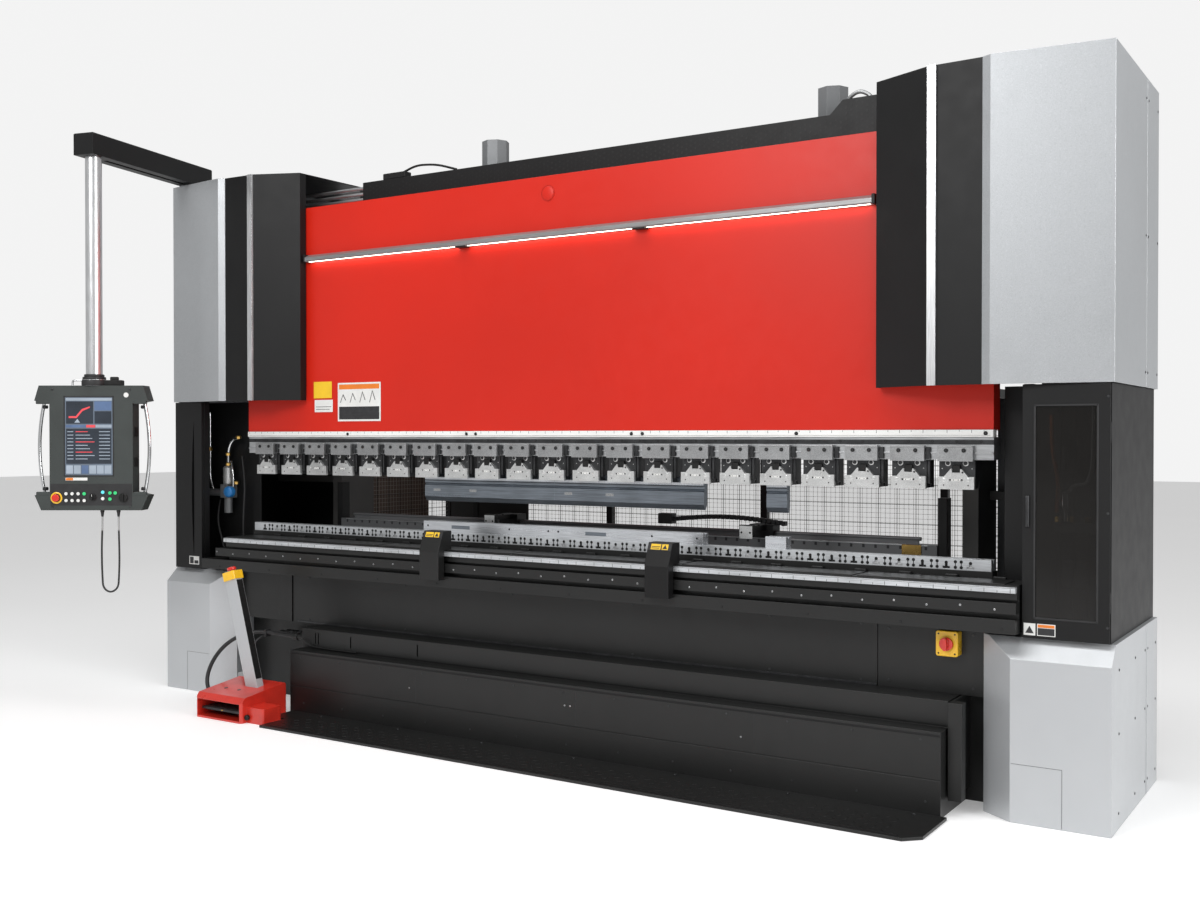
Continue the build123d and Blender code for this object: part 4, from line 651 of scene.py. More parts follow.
def holder_details():
    fixed, moving = Shape(), Shape()
    plate_y = holder_low.y
    hole_z = clamp_low.z + 0.038
    for x in holder_places:
        for side in (-0.036, 0.036):
            socket_screw(fixed, (x + side, plate_y, rail_low.z + 0.038), FRONT, 0.0085, 0.005,
                         1, 2)
            fixed.tint = 3
            fixed.turned([(0.012, 0), (0.012, 0.005), (0.010, 0.0065)],
                         (x + side, holder_face, rail_low.z - 0.014), FRONT, 20)
            fixed.tint = 2
            fixed.turned([(0.0085, 0), (0.0085, 0.0075)],
                         (x + side, holder_face, rail_low.z - 0.014), FRONT, 16)
            fixed.tint = 3
            fixed.turned([(0.0022, 0), (0.0022, 0.0008)],
                         (x + side * 1.7, holder_face, rail_low.z - 0.036), FRONT, 10)
        fixed.tint = 0
        fixed.box((x - 0.071, plate_y - 0.0015, rail_low.z + 0.050),
                  (x + 0.071, plate_y + 0.003, rail_low.z + 0.057), 0.001)
        fixed.tint = 1
        fixed.box((x - 0.0165, holder_face - 0.014, rail_low.z - 0.051),
                  (x + 0.0165, holder_face + 0.001, rail_low.z - 0.021), 0.002)
        for side in (-1, 1):
            socket_screw(moving, (x + side * 0.050, clamp_low.y + 0.009, hole_z), FRONT, 0.0064,
                         0.006, 0, 1)
            moving.tint = 2
            moving.turned([(0.0085, 0), (0.0085, 0.0006), (0.0070, 0.0010)],
                          (x + side * 0.050, clamp_low.y + 0.0002, hole_z), FRONT, 20)
            moving.tint = 0
            moving.turned([(0.0028, 0), (0.0028, 0.0008)],
                          (x + side * 0.050, clamp_low.y, clamp_low.z + 0.017), FRONT, 10)
            moving.turned([(0.0038, 0), (0.0038, 0.003)],
                          (x + side * 0.024, clamp_low.y + 0.009, hole_z), FRONT, 12)
            moving.turned([(0.0018, 0), (0.0018, 0.0012)],
                          (x + side * 0.010, clamp_low.y, hole_z), FRONT, 10)
        moving.tint = 3
        moving.box((x - 0.018, clamp_low.y - 0.0006, hole_z - 0.004),
                   (x + 0.018, clamp_low.y + 0.0005, hole_z + 0.004), 0.0004)
        socket_screw(moving, (x + 0.027, clamp_low.y, clamp_high.z - 0.014), FRONT, 0.004,
                     0.0016, 0, 1)
    fixed.done("holder_screws", "ram", "steel", holder_plate, socket_black, ink, clamp_steel)
    moving.done("clamp_screws", "holder_clamps", "steel", socket_black, ink, clamp_steel,
                label_white)

    side_plates = Shape()
    for x in holder_places[:-1]:
        side_plates.box((x + 0.0745, -0.046, rail_low.z - 0.100),
                        (x + 0.086, -0.020, rail_low.z - 0.002), 0.002)
        side_plates.box((x + 0.0745, -0.066, rail_low.z + 0.002),
                        (x + 0.094, -0.054, rail_low.z + 0.052), 0.002)
    side_plates.done("holder_links", "ram", "tool_steel", dark_steel)


def tool_details():
    die_low, die_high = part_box("dies")
    segments = ((-0.851, -0.016), (-0.016, 0.819), (1.134, 1.234))
    shoulder = Shape()
    for start, end in segments:
        shoulder.tint = 0
        shoulder.box((start + 0.0006, -0.0168, holder_low.z - 0.013),
                     (end - 0.0006, -0.0155, holder_low.z - 0.001), 0.0004)
        shoulder.tint = 1
        shoulder.box((start + 0.0006, -0.0165, holder_low.z - 0.020),
                     (end - 0.0006, -0.0155, holder_low.z - 0.0165), 0.0003)
    for start, end in segments[:2]:
        for x in (start + 0.06, start + 0.30):
            shoulder.tint = 2
            shoulder.box((x, -0.0164, holder_low.z - 0.075), (x + 0.045, -0.0158, holder_low.z - 0.062),
                         0.0002)
    shoulder.done("punch_shoulders", "ram", "tool_steel", die_steel, ink, holder_plate)
    marks = Shape()
    for start, end in segments[:2]:
        for x in (start + 0.03, end - 0.27, end - 0.03):
            socket_screw(marks, (x, die_low.y, die_high.z - 0.024), FRONT, 0.005, 0.0012)
        marks.tint = 2
        marks.box((start + 0.19, die_low.y - 0.0005, die_high.z - 0.036),
                  (start + 0.31, die_low.y + 0.0004, die_high.z - 0.018), 0.0002)
        marks.tint = 0
    marks.done("die_marks", "frame", "tool_steel", socket_black, ink, tool_steel)


# ---- table -------------------------------------------------------------------------------------
die_rail_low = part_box("die_rail")[0]
carrier_low, carrier_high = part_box("rail_carrier")
bar_low, bar_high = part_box("support_rail")


def die_rail_details():
    shape = Shape()
    face = die_rail_low.y
    floor = die_rail_low.z
    places = 42
    for number in range(places):
        x = (number - (places - 1) / 2) * 0.1
        shape.tint = 1 if number % 4 == 1 or number % 7 == 3 else 0
        depth = 0.0025
        shape.box((x - 0.0145, face + depth, floor + 0.0045), (x + 0.0145, face + 0.006, floor + 0.0135),
                  0.0006)
        shape.box((x - 0.0055, face + depth, floor + 0.0135), (x + 0.0055, face + 0.006, floor + 0.0255),
                  0.0006)
        shape.tint = 0
        shape.turned([(0.0068, 0), (0.0068, 0.001)], (x, face, floor + 0.029), FRONT, 14)
        if number == places - 1:
            continue
        for dot_x in (x + 0.038, x + 0.062):
            for dot_z in (floor + 0.010, floor + 0.033):
                shape.tint = 0
                shape.turned([(0.0068, 0), (0.0068, 0.0008), (0.006, 0.001)], (dot_x, face, dot_z),
                             FRONT, 14)
            shape.box((dot_x - 0.0016, face - 0.0008, floor + 0.010),
                      (dot_x + 0.0016, face + 0.0004, floor + 0.033), 0.0003)
    shape.done("rail_clamps", "frame", "tool_steel", socket_black, ground_steel)


def table_details():
    screws = Shape()
    for number, x in enumerate(spread(carrier_low.x + 0.12, carrier_high.x - 0.08, 34)):
        socket_screw(screws, (x, carrier_low.y + 0.007, carrier_high.z - 0.085 - 0.008 * (number % 2)),
                     FRONT, 0.0042, 0.0015, 2, 1)
        if number % 3 == 0:
            socket_screw(screws, (x + 0.03, carrier_low.y, carrier_low.z + 0.018), FRONT, 0.005,
                         0.002, 0, 1)
    for number, x in enumerate(spread(carrier_low.x + 0.2, carrier_high.x - 0.1, 24)):
        socket_screw(screws, (x, -0.12 - 0.02 * (number % 2), carrier_high.z), UP, 0.0055, 0.003,
                     2 if number % 2 else 0, 1)
    screws.done("carrier_screws", "frame", "steel", socket_black, ink, ground_steel)

    marks = Shape()
    for number, x in enumerate(spread(bar_low.x + 0.02, bar_high.x - 0.02, 89)):
        tall = number % 2 == 0
        marks.box((x, bar_low.y - 0.0005, bar_low.z + 0.001),
                  (x + 0.0018, bar_low.y + 0.0004, bar_low.z + (0.016 if tall else 0.009)), 0.0002)
    marks.box((bar_low.x, bar_low.y - 0.0004, bar_low.z + 0.0185),
              (bar_high.x, bar_low.y + 0.0004, bar_low.z + 0.0195), 0.0002)
    marks.done("rail_marks", "frame", "black_paint", ink)

    trays = Shape()
    for start, end in ((-2.05, -1.02), (-1.0, -0.14), (-0.12, 0.80), (0.82, 1.62), (1.64, 2.24)):
        trays.box((start, -0.228, carrier_high.z - 0.001), (end, -0.072, carrier_high.z + 0.004),
                  0.002)
    for number, x in enumerate(spread(-1.95, 2.15, 22)):
        trays.box((x, -0.060, carrier_high.z - 0.0005), (x + 0.05, -0.044, carrier_high.z + 0.012),
                  0.002)
    trays.done("carrier_trays", "frame", "black_paint", black_sheet)

    plate_low, plate_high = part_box("table_front_plates")
    face = -0.120
    fronts = Shape()
    for x in (-1.60, -0.9, -0.2, 0.5, 1.2, 1.62):
        for z in (plate_low.z + 0.020, plate_high.z - 0.020):
            socket_screw(fronts, (x, face, z), FRONT, 0.006, 0.0025)
    # a thin strip of dark steel, lighter than the black plates, runs along their foot as a painted
    # highlight of their lower edge
    fronts.tint = 0
    fronts.box((-1.69, face - 0.003, plate_low.z), (1.688, face, plate_low.z + 0.010), 0.001)
    for x in (1.74, 2.09):
        for z in (plate_low.z + 0.030, plate_high.z - 0.030):
            socket_screw(fronts, (x, face, z), FRONT, 0.006, 0.0025)
    fronts.done("front_plate_screws_and_edge_highlight", "frame", "steel", dark_steel, ink)


def lower_box_details():
    box_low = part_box("lower_front_box")[0]
    shape = Shape()
    left = -1.5
    right = 2.035
    for x in spread(left + 0.08, right - 0.08, 13):
        socket_screw(shape, (x, box_low.y, 0.300), FRONT, 0.005, 0.002, 0, 1)
        socket_screw(shape, (x + 0.02, box_low.y, 0.060), FRONT, 0.005, 0.002, 0, 1)
    shape.tint = 2
    shape.box((left + 0.002, box_low.y - 0.0004, 0.316), (right - 0.002, box_low.y + 0.001, 0.3255),
              0.0004)
    for x in (-0.62, 0.34, 1.24):
        shape.tint = 1
        shape.box((x, box_low.y - 0.0004, 0.150), (x + 0.002, box_low.y + 0.0006, 0.316), 0.0002)
    for x, height in ((-0.66, 0.22), (0.28, 0.24), (0.31, 0.24), (1.18, 0.21)):
        socket_screw(shape, (x, box_low.y, height), FRONT, 0.004, 0.002, 3, 1)
    shape.done("lower_box_screws", "frame", "steel", dark_steel, ink, black_powder, ground_steel)

    row = Shape()
    for number, x in enumerate(spread(-1.79, -1.665, 5)):
        row.tint = number % 2
        row.turned([(0.017, 0), (0.019, 0.004), (0.019, 0.020), (0.014, 0.024), (0.014, 0.034)],
                   (x, -0.106, 0.372), (1, 0, 0), 14)
    row.tint = 0
    row.tube([(-1.84, -0.106, 0.372), (-1.70, -0.106, 0.372), (-1.63, -0.106, 0.372),
              (-1.56, -0.106, 0.372)], 0.011, 12)
    row.tube([(-1.50, -0.282, 0.385), (-1.47, -0.285, 0.365), (-1.42, -0.283, 0.350),
              (-1.30, -0.276, 0.344), (-1.10, -0.275, 0.344)], 0.004, 8)
    row.done("connector_row", "frame", "black_paint", socket_black, dark_steel)

    tread = Shape()
    plate_low, plate_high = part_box("floor_plate")
    tread.box((plate_low.x + 0.17, plate_low.y + 0.02, plate_high.z - 0.0003),
              (plate_high.x - 0.08, plate_low.y + 0.026, plate_high.z + 0.002), 0.001)
    tread.tint = 1
    for x in spread(plate_low.x + 0.24, plate_high.x - 0.12, 7):
        socket_screw(tread, (x, plate_high.y - 0.03, plate_high.z), UP, 0.008, 0.004, 1, 2)
    tread.done("floor_plate_trim", "frame", "black_paint", black_powder, dark_steel, ink)


def tread_pattern():
    """Raised lozenges of a chequered plate, in rows that lean both ways."""
    plate_low, plate_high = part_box("floor_plate")
    shape = Shape()
    step = 0.042
    rows = int((plate_high.y - plate_low.y - 0.09) / step)
    columns = int((plate_high.x - plate_low.x - 0.275) / step)
    for row in range(rows):
        for column in range(columns):
            x = plate_low.x + 0.195 + column * step
            y = plate_low.y + 0.055 + row * step
            lean = math.radians(45 if (row + column) % 2 else -45)
            across = Vector((math.cos(lean), math.sin(lean), 0))
            up = UP.cross(across)
            outline = [(-0.013, 0), (-0.006, 0.0024), (0.006, 0.0024), (0.013, 0),
                       (0.006, -0.0024), (-0.006, -0.0024)]
            shape.prism(outline, (x, y, plate_high.z - 0.0002), across, up, 0.0014)
    shape.done("tread_pattern", "frame", "black_paint", black_sheet)


def support_labels():
    """Blank yellow labels on the sloping tops of the two sheet supports."""
    for side in ("left", "right"):
        low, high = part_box(f"{side}_sheet_support")
        slope_foot = Vector(((low.x + high.x) / 2, -0.310, 0.900))
        slope_top = Vector(((low.x + high.x) / 2, -0.268, 1.003))
        rise = (slope_top - slope_foot).normalized()
        out = Vector((1, 0, 0)).cross(rise)
        shape = Shape(Matrix.Translation(slope_foot) @ Matrix(
            ((1, 0, 0), rise, out)).transposed().to_4x4())
        shape.tint = 1
        shape.box((-0.060, 0.074, -0.0002), (0.060, 0.109, 0.0016), 0.0006)
        shape.tint = 0
        shape.box((-0.044, 0.078, 0.0014), (0.006, 0.104, 0.0022), 0.0003)
        shape.box((0.012, 0.078, 0.0014), (0.044, 0.104, 0.0022), 0.0003)
        shape.tint = 2
        shape.prism([(0.016, 0.082), (0.040, 0.082), (0.028, 0.101)], (0, 0, 0.0022), (1, 0, 0),
                    (0, 1, 0), 0.0004)
        shape.box((-0.040, 0.083, 0.0020), (0.000, 0.086, 0.0025), 0.0001)
        shape.box((-0.040, 0.090, 0.0020), (0.002, 0.093, 0.0025), 0.0001)
        shape.done(f"{side}_support_label", f"{side}_support", "yellow_plastic", label_yellow,
                   soft_black, ink)


def isolator_details():
    low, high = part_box("isolator_box")
    knob_low, knob_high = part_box("isolator_knob")
    middle = (knob_low + knob_high) / 2
    shape = Shape()
    shape.turned([(0.034, 0), (0.034, 0.0006), (0.030, 0.0009), (0.030, 0.0004)],
                 (middle.x, low.y, middle.z), FRONT, 40)
    for x in (low.x + 0.012, high.x - 0.012):
        for z in (low.z + 0.012, high.z - 0.012):
            socket_screw(shape, (x, low.y, z), FRONT, 0.0035, 0.0012, 1, 2)
    shape.done("isolator_ring", "frame", "yellow_plastic", label_yellow, socket_black, ink)


# ---- covers and guards -------------------------------------------------------------------------
def cover_details():
    seams = Shape()
    low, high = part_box("right_lower_cover")
    out = high.x - 0.003
    for side in (-1, 1):
        front = low.y
        inner, outer = 2.272, 2.46
        spans = (((inner, outer), (0.225, 0.2265)), ((outer, outer + 0.0015), (0.004, 0.2265)))
        for x_span, z_span in spans:
            xs = sorted(side * x for x in x_span)
            seams.box((xs[0], front - 0.0005, z_span[0]), (xs[1], front + 0.0006, z_span[1]), 0.0002)
    seams.done("cover_seams", "frame", "black_paint", ink)

    screws = Shape()
    for side in (-1, 1):
        for y in (-0.12, 0.2, 0.41, 0.47, 0.65):
            for z in (0.06, 0.36, 0.60):
                socket_screw(screws, (side * out, y, z), (side, 0, 0), 0.0055, 0.0018, 0, 1)
    top_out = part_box("right_upper_cover")[1].x
    for side in (-1, 1):
        for z in (1.74, 2.30, 2.86):
            for y in (0.415, 0.465, 0.68):
                socket_screw(screws, (side * top_out, y, z), (side, 0, 0), 0.0055, 0.0018, 0, 1)
    screws.done("cover_screws", "frame", "steel", dark_steel, ink)


def door_details():
    """Frames, gaskets and blank labels on the guard doors."""
    low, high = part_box("right_guard_door")
    window_low, window_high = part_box("door_window")
    gasket = Shape()
    edge = 0.008
    inner = (window_low.x + edge, window_high.x - edge, window_low.z + edge, window_high.z - edge)
    left, right, bottom, top = inner
    face = low.y
    band = 0.006
    for x_span, z_span in (
        ((left - 0.001, left + band), (bottom, top)), ((right - band, right + 0.001), (bottom, top)),
        ((left, right), (bottom - 0.001, bottom + band)), ((left, right), (top - band, top + 0.001)),
    ):
        gasket.box((x_span[0], face - 0.0015, z_span[0]), (x_span[1], face + 0.005, z_span[1]),
                   0.001)
    for z in (low.z + 0.06, (low.z + high.z) / 2, high.z - 0.05):
        socket_screw(gasket, (right + 0.035, face, z), FRONT, 0.005, 0.002, 1, 2)
    gasket.tint = 1
    gasket.box((left - 0.030, face - 0.010, 1.13), (left - 0.016, face, 1.25), 0.003)
    gasket.done("window_gasket", "right_door", "black_paint", soft_black, dark_steel, ink)
    labels = Shape()
    labels.box((2.306, face - 0.0008, 0.716), (2.350, face + 0.0004, 0.762), 0.0003)
    labels.box((2.356, face - 0.0008, 0.716), (2.424, face + 0.0004, 0.762), 0.0003)
    labels.tint = 1
    labels.box((2.359, face - 0.0012, 0.719), (2.421, face - 0.0004, 0.746), 0.0003)
    labels.prism([(0.004, 0.006), (0.036, 0.006), (0.020, 0.034)], (2.308, face - 0.0008, 0.718),
                 (1, 0, 0), (0, 0, 1), 0.0004)
    labels.tint = 2
    labels.box((2.359, face - 0.0012, 0.748), (2.421, face - 0.0004, 0.759), 0.0003)
    labels.done("right_door_label", "right_door", "scale_white", label_white, ink, label_orange)
    labels = Shape()
    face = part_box("left_guard_door")[0].y
    labels.box((-2.500, face - 0.0008, 0.728), (-2.415, face + 0.0004, 0.776), 0.0003)
    labels.tint = 1
    labels.box((-2.494, face - 0.0012, 0.733), (-2.462, face - 0.0004, 0.771), 0.0003)
    labels.box((-2.455, face - 0.0012, 0.733), (-2.421, face - 0.0004, 0.752), 0.0003)
    labels.done("left_door_label", "left_door", "scale_white", label_white, ink)


def air_details():
    """Valves, pipes and cables that show through the doors."""
    left = Shape()
    back = 0.005
    left.turned([(0.030, 0), (0.033, 0.006), (0.033, 0.030), (0.026, 0.040), (0.010, 0.044)],
                (-2.33, -0.03, 1.150), FRONT, 28)
    left.tint = 1
    left.turned([(0.027, 0), (0.027, 0.012), (0.030, 0.016), (0.030, 0.110), (0.022, 0.120)],
                (-2.40, back, 1.18), UP, 24)
    left.tint = 2
    left.tube([(-2.40, back, 1.28), (-2.40, back, 1.40), (-2.36, back, 1.46), (-2.30, 0.01, 1.47)],
              0.010, 12)
    left.tube([(-2.33, -0.02, 1.18), (-2.33, -0.02, 1.27), (-2.37, 0.00, 1.33)], 0.007, 12)
    left.tube([(-2.45, back, 1.14), (-2.52, back, 1.14), (-2.56, back, 1.22), (-2.56, back, 1.62)],
              0.008, 12)
    left.tint = 3
    for x, z in ((-2.40, 1.31), (-2.40, 1.37), (-2.33, 1.20), (-2.56, 1.40), (-2.31, 1.47)):
        left.turned([(0.014, 0), (0.016, 0.003), (0.016, 0.016), (0.012, 0.020)],
                    (x, back - 0.001, z - 0.008), UP, 6)
    left.tint = 4
    left.tube([(-2.47, back, 1.10), (-2.47, -0.02, 0.98), (-2.44, -0.01, 0.86), (-2.40, 0.0, 0.73)],
              0.006, 10)
    left.tube([(-2.28, back, 1.36), (-2.25, 0.0, 1.20), (-2.27, 0.0, 0.95), (-2.25, 0.0, 0.73)],
              0.006, 10)
    left.done("left_air_fittings", "frame", "steel", valve_blue, clamp_steel, chrome, brass,
              cable_black)

    right = Shape()
    right.box((2.377, -0.034, 1.098), (2.548, -0.010, 1.140), 0.003)
    right.tint = 1
    right.tube([(2.42, -0.020, 1.145), (2.42, -0.020, 1.24), (2.45, -0.025, 1.29),
                (2.50, -0.025, 1.29), (2.52, -0.02, 1.36), (2.52, 0.0, 1.60)], 0.010, 12)
    right.turned([(0.020, 0), (0.023, 0.005), (0.023, 0.055), (0.015, 0.062)], (2.42, -0.022, 1.20),
                 UP, 20)
    right.tint = 2
    for number, x in enumerate((2.392, 2.448, 2.505)):
        right.turned([(0.013, 0), (0.015, 0.003), (0.015, 0.018), (0.010, 0.024)],
                     (x, -0.024, 1.142), UP, 6)
        right.tint = 3
        right.tube([(x, -0.024, 1.16), (x, -0.03, 1.30), (x + 0.01, -0.01, 1.45),
                    (x - 0.01 * number, 0.0, 1.66)], 0.005, 10)
        right.tube([(x, -0.02, 1.098), (x + 0.01, -0.04, 0.98), (x - 0.01, -0.02, 0.84),
                    (x, 0.0, 0.72)], 0.0055, 10)
        right.tint = 2
    right.tint = 4
    right.tube([(2.36, 0.0, 1.56), (2.37, -0.03, 1.42), (2.40, -0.05, 1.30), (2.39, -0.04, 1.18)],
               0.008, 12)
    right.tint = 0
    right.box((2.40, -0.012, 0.88), (2.50, 0.042, 0.99), 0.004)
    right.box((2.36, -0.006, 1.34), (2.41, 0.042, 1.44), 0.004)
    right.done("right_air_fittings", "frame", "steel", grey_panel, chrome, brass, cable_black,
               label_orange)


def top_details():
    """Perforations of the top guard, cap lids and the small pipes along the ram's top edge."""
    low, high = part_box("top_guard")
    holes = Shape()
    pitch = 0.024
    columns = int((high.x - low.x - 0.06) / pitch)
    for column in range(columns):
        x = low.x + 0.03 + column * pitch
        rows = 7 if x > 1.47 else 4
        for row in range(rows):
            z = 2.774 + row * pitch + (pitch / 2 if column % 2 else 0)
            if z < (high.z if x > 1.47 else 2.884) - 0.012:
                holes.turned([(0.0058, 0), (0.0058, 0.0005)], (x, low.y, z), FRONT, 8)
    holes.done("guard_holes", "frame", "black_paint", socket_black)

    tank_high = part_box("oil_tank")[1]
    caps = Shape()
    for x in (-0.556, 1.351):
        caps.turned([(0.062, 0), (0.058, 0.0006)], (x, 0.215, tank_high.z - 0.0002), UP, 24)
    rim = 2.880
    caps.tint = 1
    caps.box((-1.40, 0.15, rim), (-0.70, 0.156, rim + 0.012), 0.002)
    caps.done("cap_louvres", "frame", "grey_paint", grey_panel, black_powder)

    pipes = Shape()
    pipes.tint = 1
    for y, z in ((0.100, 2.800), (0.100, 2.830), (0.100, 2.862)):
        pipes.tube([(-2.05, y, z), (-1.90, y, z), (-1.55, y, z), (-1.37, y, z)], 0.010, 12)
    pipes.tint = 0
    pipes.box((-1.22, 0.064, 2.884), (-1.06, 0.120, 2.918), 0.004)
    pipes.tube([(-1.10, 0.09, 2.915), (-1.0, 0.09, 2.945), (-0.86, 0.09, 2.935), (-0.72, 0.09, 2.892)],
               0.006, 10)
    pipes.tint = 2
    pipes.tube([(1.46, 0.12, 2.885), (1.46, 0.11, 2.955), (1.52, 0.10, 2.985), (1.58, 0.10, 2.950),
                (1.60, 0.10, 2.860)], 0.009, 12)
    pipes.tint = 3
    for x, z in ((1.46, 2.900), (1.60, 2.880), (1.53, 2.905)):
        pipes.turned([(0.014, 0), (0.017, 0.003), (0.017, 0.018), (0.012, 0.024)],
                     (x, 0.11, z), UP, 6)
    pipes.tint = 1
    pipes.turned([(0.020, 0), (0.022, 0.004), (0.022, 0.04), (0.016, 0.046)], (1.50, 0.13, 2.884),
                 UP, 16)
    pipes.done("top_pipes", "frame", "steel", socket_black, ground_steel, holder_plate, brass)


def mesh_guard():
    """Fine wires between the rear guard's main wires."""
    low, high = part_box("rear_guard")
    shape = Shape()
    back = high.y - 0.02
    pitch = 0.02625
    half = 0.0008
    wires = int((high.x - low.x - 0.08) / pitch)
    for number in range(wires + 1):
        x = (number - wires / 2) * pitch
        shape.box((x - half, back - half, 0.29), (x + half, back + half, 1.66), 0.0003)
    levels = int((1.66 - 0.29) / pitch)
    for number in range(levels):
        z = 0.30 + number * pitch
        shape.box((low.x + 0.04, back - half, z - half), (high.x - 0.04, back + half, z + half),
                  0.0003)
        for side in (low.x + 0.02, high.x - 0.02):
            shape.box((side - half, 0.70, z - half), (side + half, back - 0.02, z + half), 0.0003)
    for number in range(int((back - 0.02 - 0.72) / pitch)):
        y = 0.72 + number * pitch
        for side in (low.x + 0.02, high.x - 0.02):
            shape.box((side - half, y - half, 0.29), (side + half, y + half, 1.66), 0.0003)
    shape.done("guard_mesh", "frame", "grey_paint", wire_brown)
    panels = Shape()
    panels.box((low.x + 0.006, 0.72, 0.30), (low.x + 0.014, 1.25, 1.64), 0.001)
    panels.tint = 1
    panels.box((low.x + 0.04, back - 0.016, 0.30), (-1.24, back - 0.006, 1.64), 0.001)
    panels.done("guard_panels", "frame", "grey_paint", brown_sheet, black_sheet)


# ---- back gauge --------------------------------------------------------------------------------
def gauge_details():
    low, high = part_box("gauge_beam")
    beam_front = low.y if low.y > 0.3 else 0.33
    top = 0.995
    shape = Shape()
    for x in spread(low.x + 0.05, high.x - 0.05, 61):
        shape.box((x - 0.006, beam_front - 0.0008, top - 0.022),
                  (x + 0.006, beam_front + 0.001, top - 0.006), 0.0006)
    shape.tint = 1
    shape.box((high.x - 0.16, beam_front - 0.004, top - 0.050),
              (high.x - 0.07, beam_front + 0.002, top), 0.004)
    shape.tint = 2
    shape.box((low.x + 0.04, beam_front - 0.003, top - 0.006), (high.x - 0.04, beam_front + 0.001, top),
              0.001)
    shape.done("gauge_beam_trim", "gauge_beam", "steel", ink, brass, ground_steel)

    chain = Shape()
    count = 26
    for number in range(count):
        share = number / (count - 1)
        x = 0.42 + share * 0.62
        z = 1.062 + 0.022 * math.sin(math.pi * share)
        chain.box((x - 0.010, 0.362, z - 0.011), (x + 0.010, 0.398, z + 0.011), 0.003)
    chain.box((0.36, 0.350, 1.040), (0.44, 0.404, 1.092), 0.004)
    chain.done("gauge_cable_chain", "gauge_beam", "black_paint", soft_black)

    for side in ("left", "right"):
        low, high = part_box(f"{side}_finger")
        middle = (low.x + high.x) / 2
        tip = Shape()
        tip.box((middle - 0.033, low.y - 0.0003, low.z + 0.006),
                (middle + 0.033, low.y + 0.003, high.z - 0.004), 0.001)
        for x in (middle - 0.022, middle + 0.022):
            socket_screw(tip, (x, low.y, (low.z + high.z) / 2), FRONT, 0.005, 0.002, 1, 2)
            socket_screw(tip, (x, low.y + 0.09, high.z - 0.006), UP, 0.005, 0.003, 1, 2)
        tip.done(f"{side}_finger_tip", f"{side}_finger", "steel", clamp_steel, socket_black, ink)


# ---- pendant -----------------------------------------------------------------------------------
def pendant_screen():
    """A plain screen layout: a block with a bent sheet, bars and a list, without words."""
    shape = Shape(panel)
    face = case_front - 0.0010
    left, right, bottom, top = -0.138, 0.114, -0.144, 0.268

    def tile(tint, x_span, y_span, proud=0.0004):
        shape.tint = tint
        shape.box((x_span[0], y_span[0], face - 0.0001), (x_span[1], y_span[1], face + proud), 0.0001)

    tile(2, (left + 0.004, right - 0.004), (top - 0.018, top - 0.004))
    tile(1, (left + 0.006, left + 0.150), (top - 0.140, top - 0.022))
    tile(4, (left + 0.156, right - 0.006), (top - 0.070, top - 0.022))
    tile(1, (left + 0.156, right - 0.006), (top - 0.140, top - 0.074))
    tile(4, (left + 0.004, left + 0.110), (top - 0.160, top - 0.146))
    tile(3, (left + 0.112, left + 0.160), (top - 0.160, top - 0.146))
    tile(2, (left + 0.162, right - 0.006), (top - 0.160, top - 0.146))
    tile(1, (left + 0.006, right - 0.006), (bottom + 0.060, top - 0.166))
    for row in range(9):
        level = top - 0.184 - row * 0.018
        tile(2, (left + 0.012, left + 0.044), (level, level + 0.004), 0.0006)
        tile(2 if row % 3 else 3, (left + 0.056, left + 0.120 + 0.012 * (row * 5 % 4)),
             (level, level + 0.004), 0.0006)
        tile(2, (left + 0.180, right - 0.014), (level, level + 0.004), 0.0006)
    for column in range(6):
        start = left + 0.006 + column * 0.0405
        tile(2 if column != 2 else 4, (start, start + 0.036), (bottom + 0.008, bottom + 0.052))
    shape.tint = 3
    bend = [(0.02, 0.03), (0.062, 0.030), (0.094, 0.068), (0.132, 0.084), (0.132, 0.092),
            (0.090, 0.078), (0.058, 0.040), (0.02, 0.040)]
    shape.prism(bend, (left, top - 0.140, face + 0.0004), (1, 0, 0), (0, 1, 0), 0.0004)
    shape.tint = 2
    shape.prism([(0.050, 0.006), (0.080, 0.006), (0.066, 0.026)], (left, top - 0.140, face + 0.0004),
                (1, 0, 0), (0, 1, 0), 0.0004)
    shape.done("screen_layout", "pendant", "screen_glass", screen_back, screen_dark, screen_pale,
               screen_red, screen_blue)


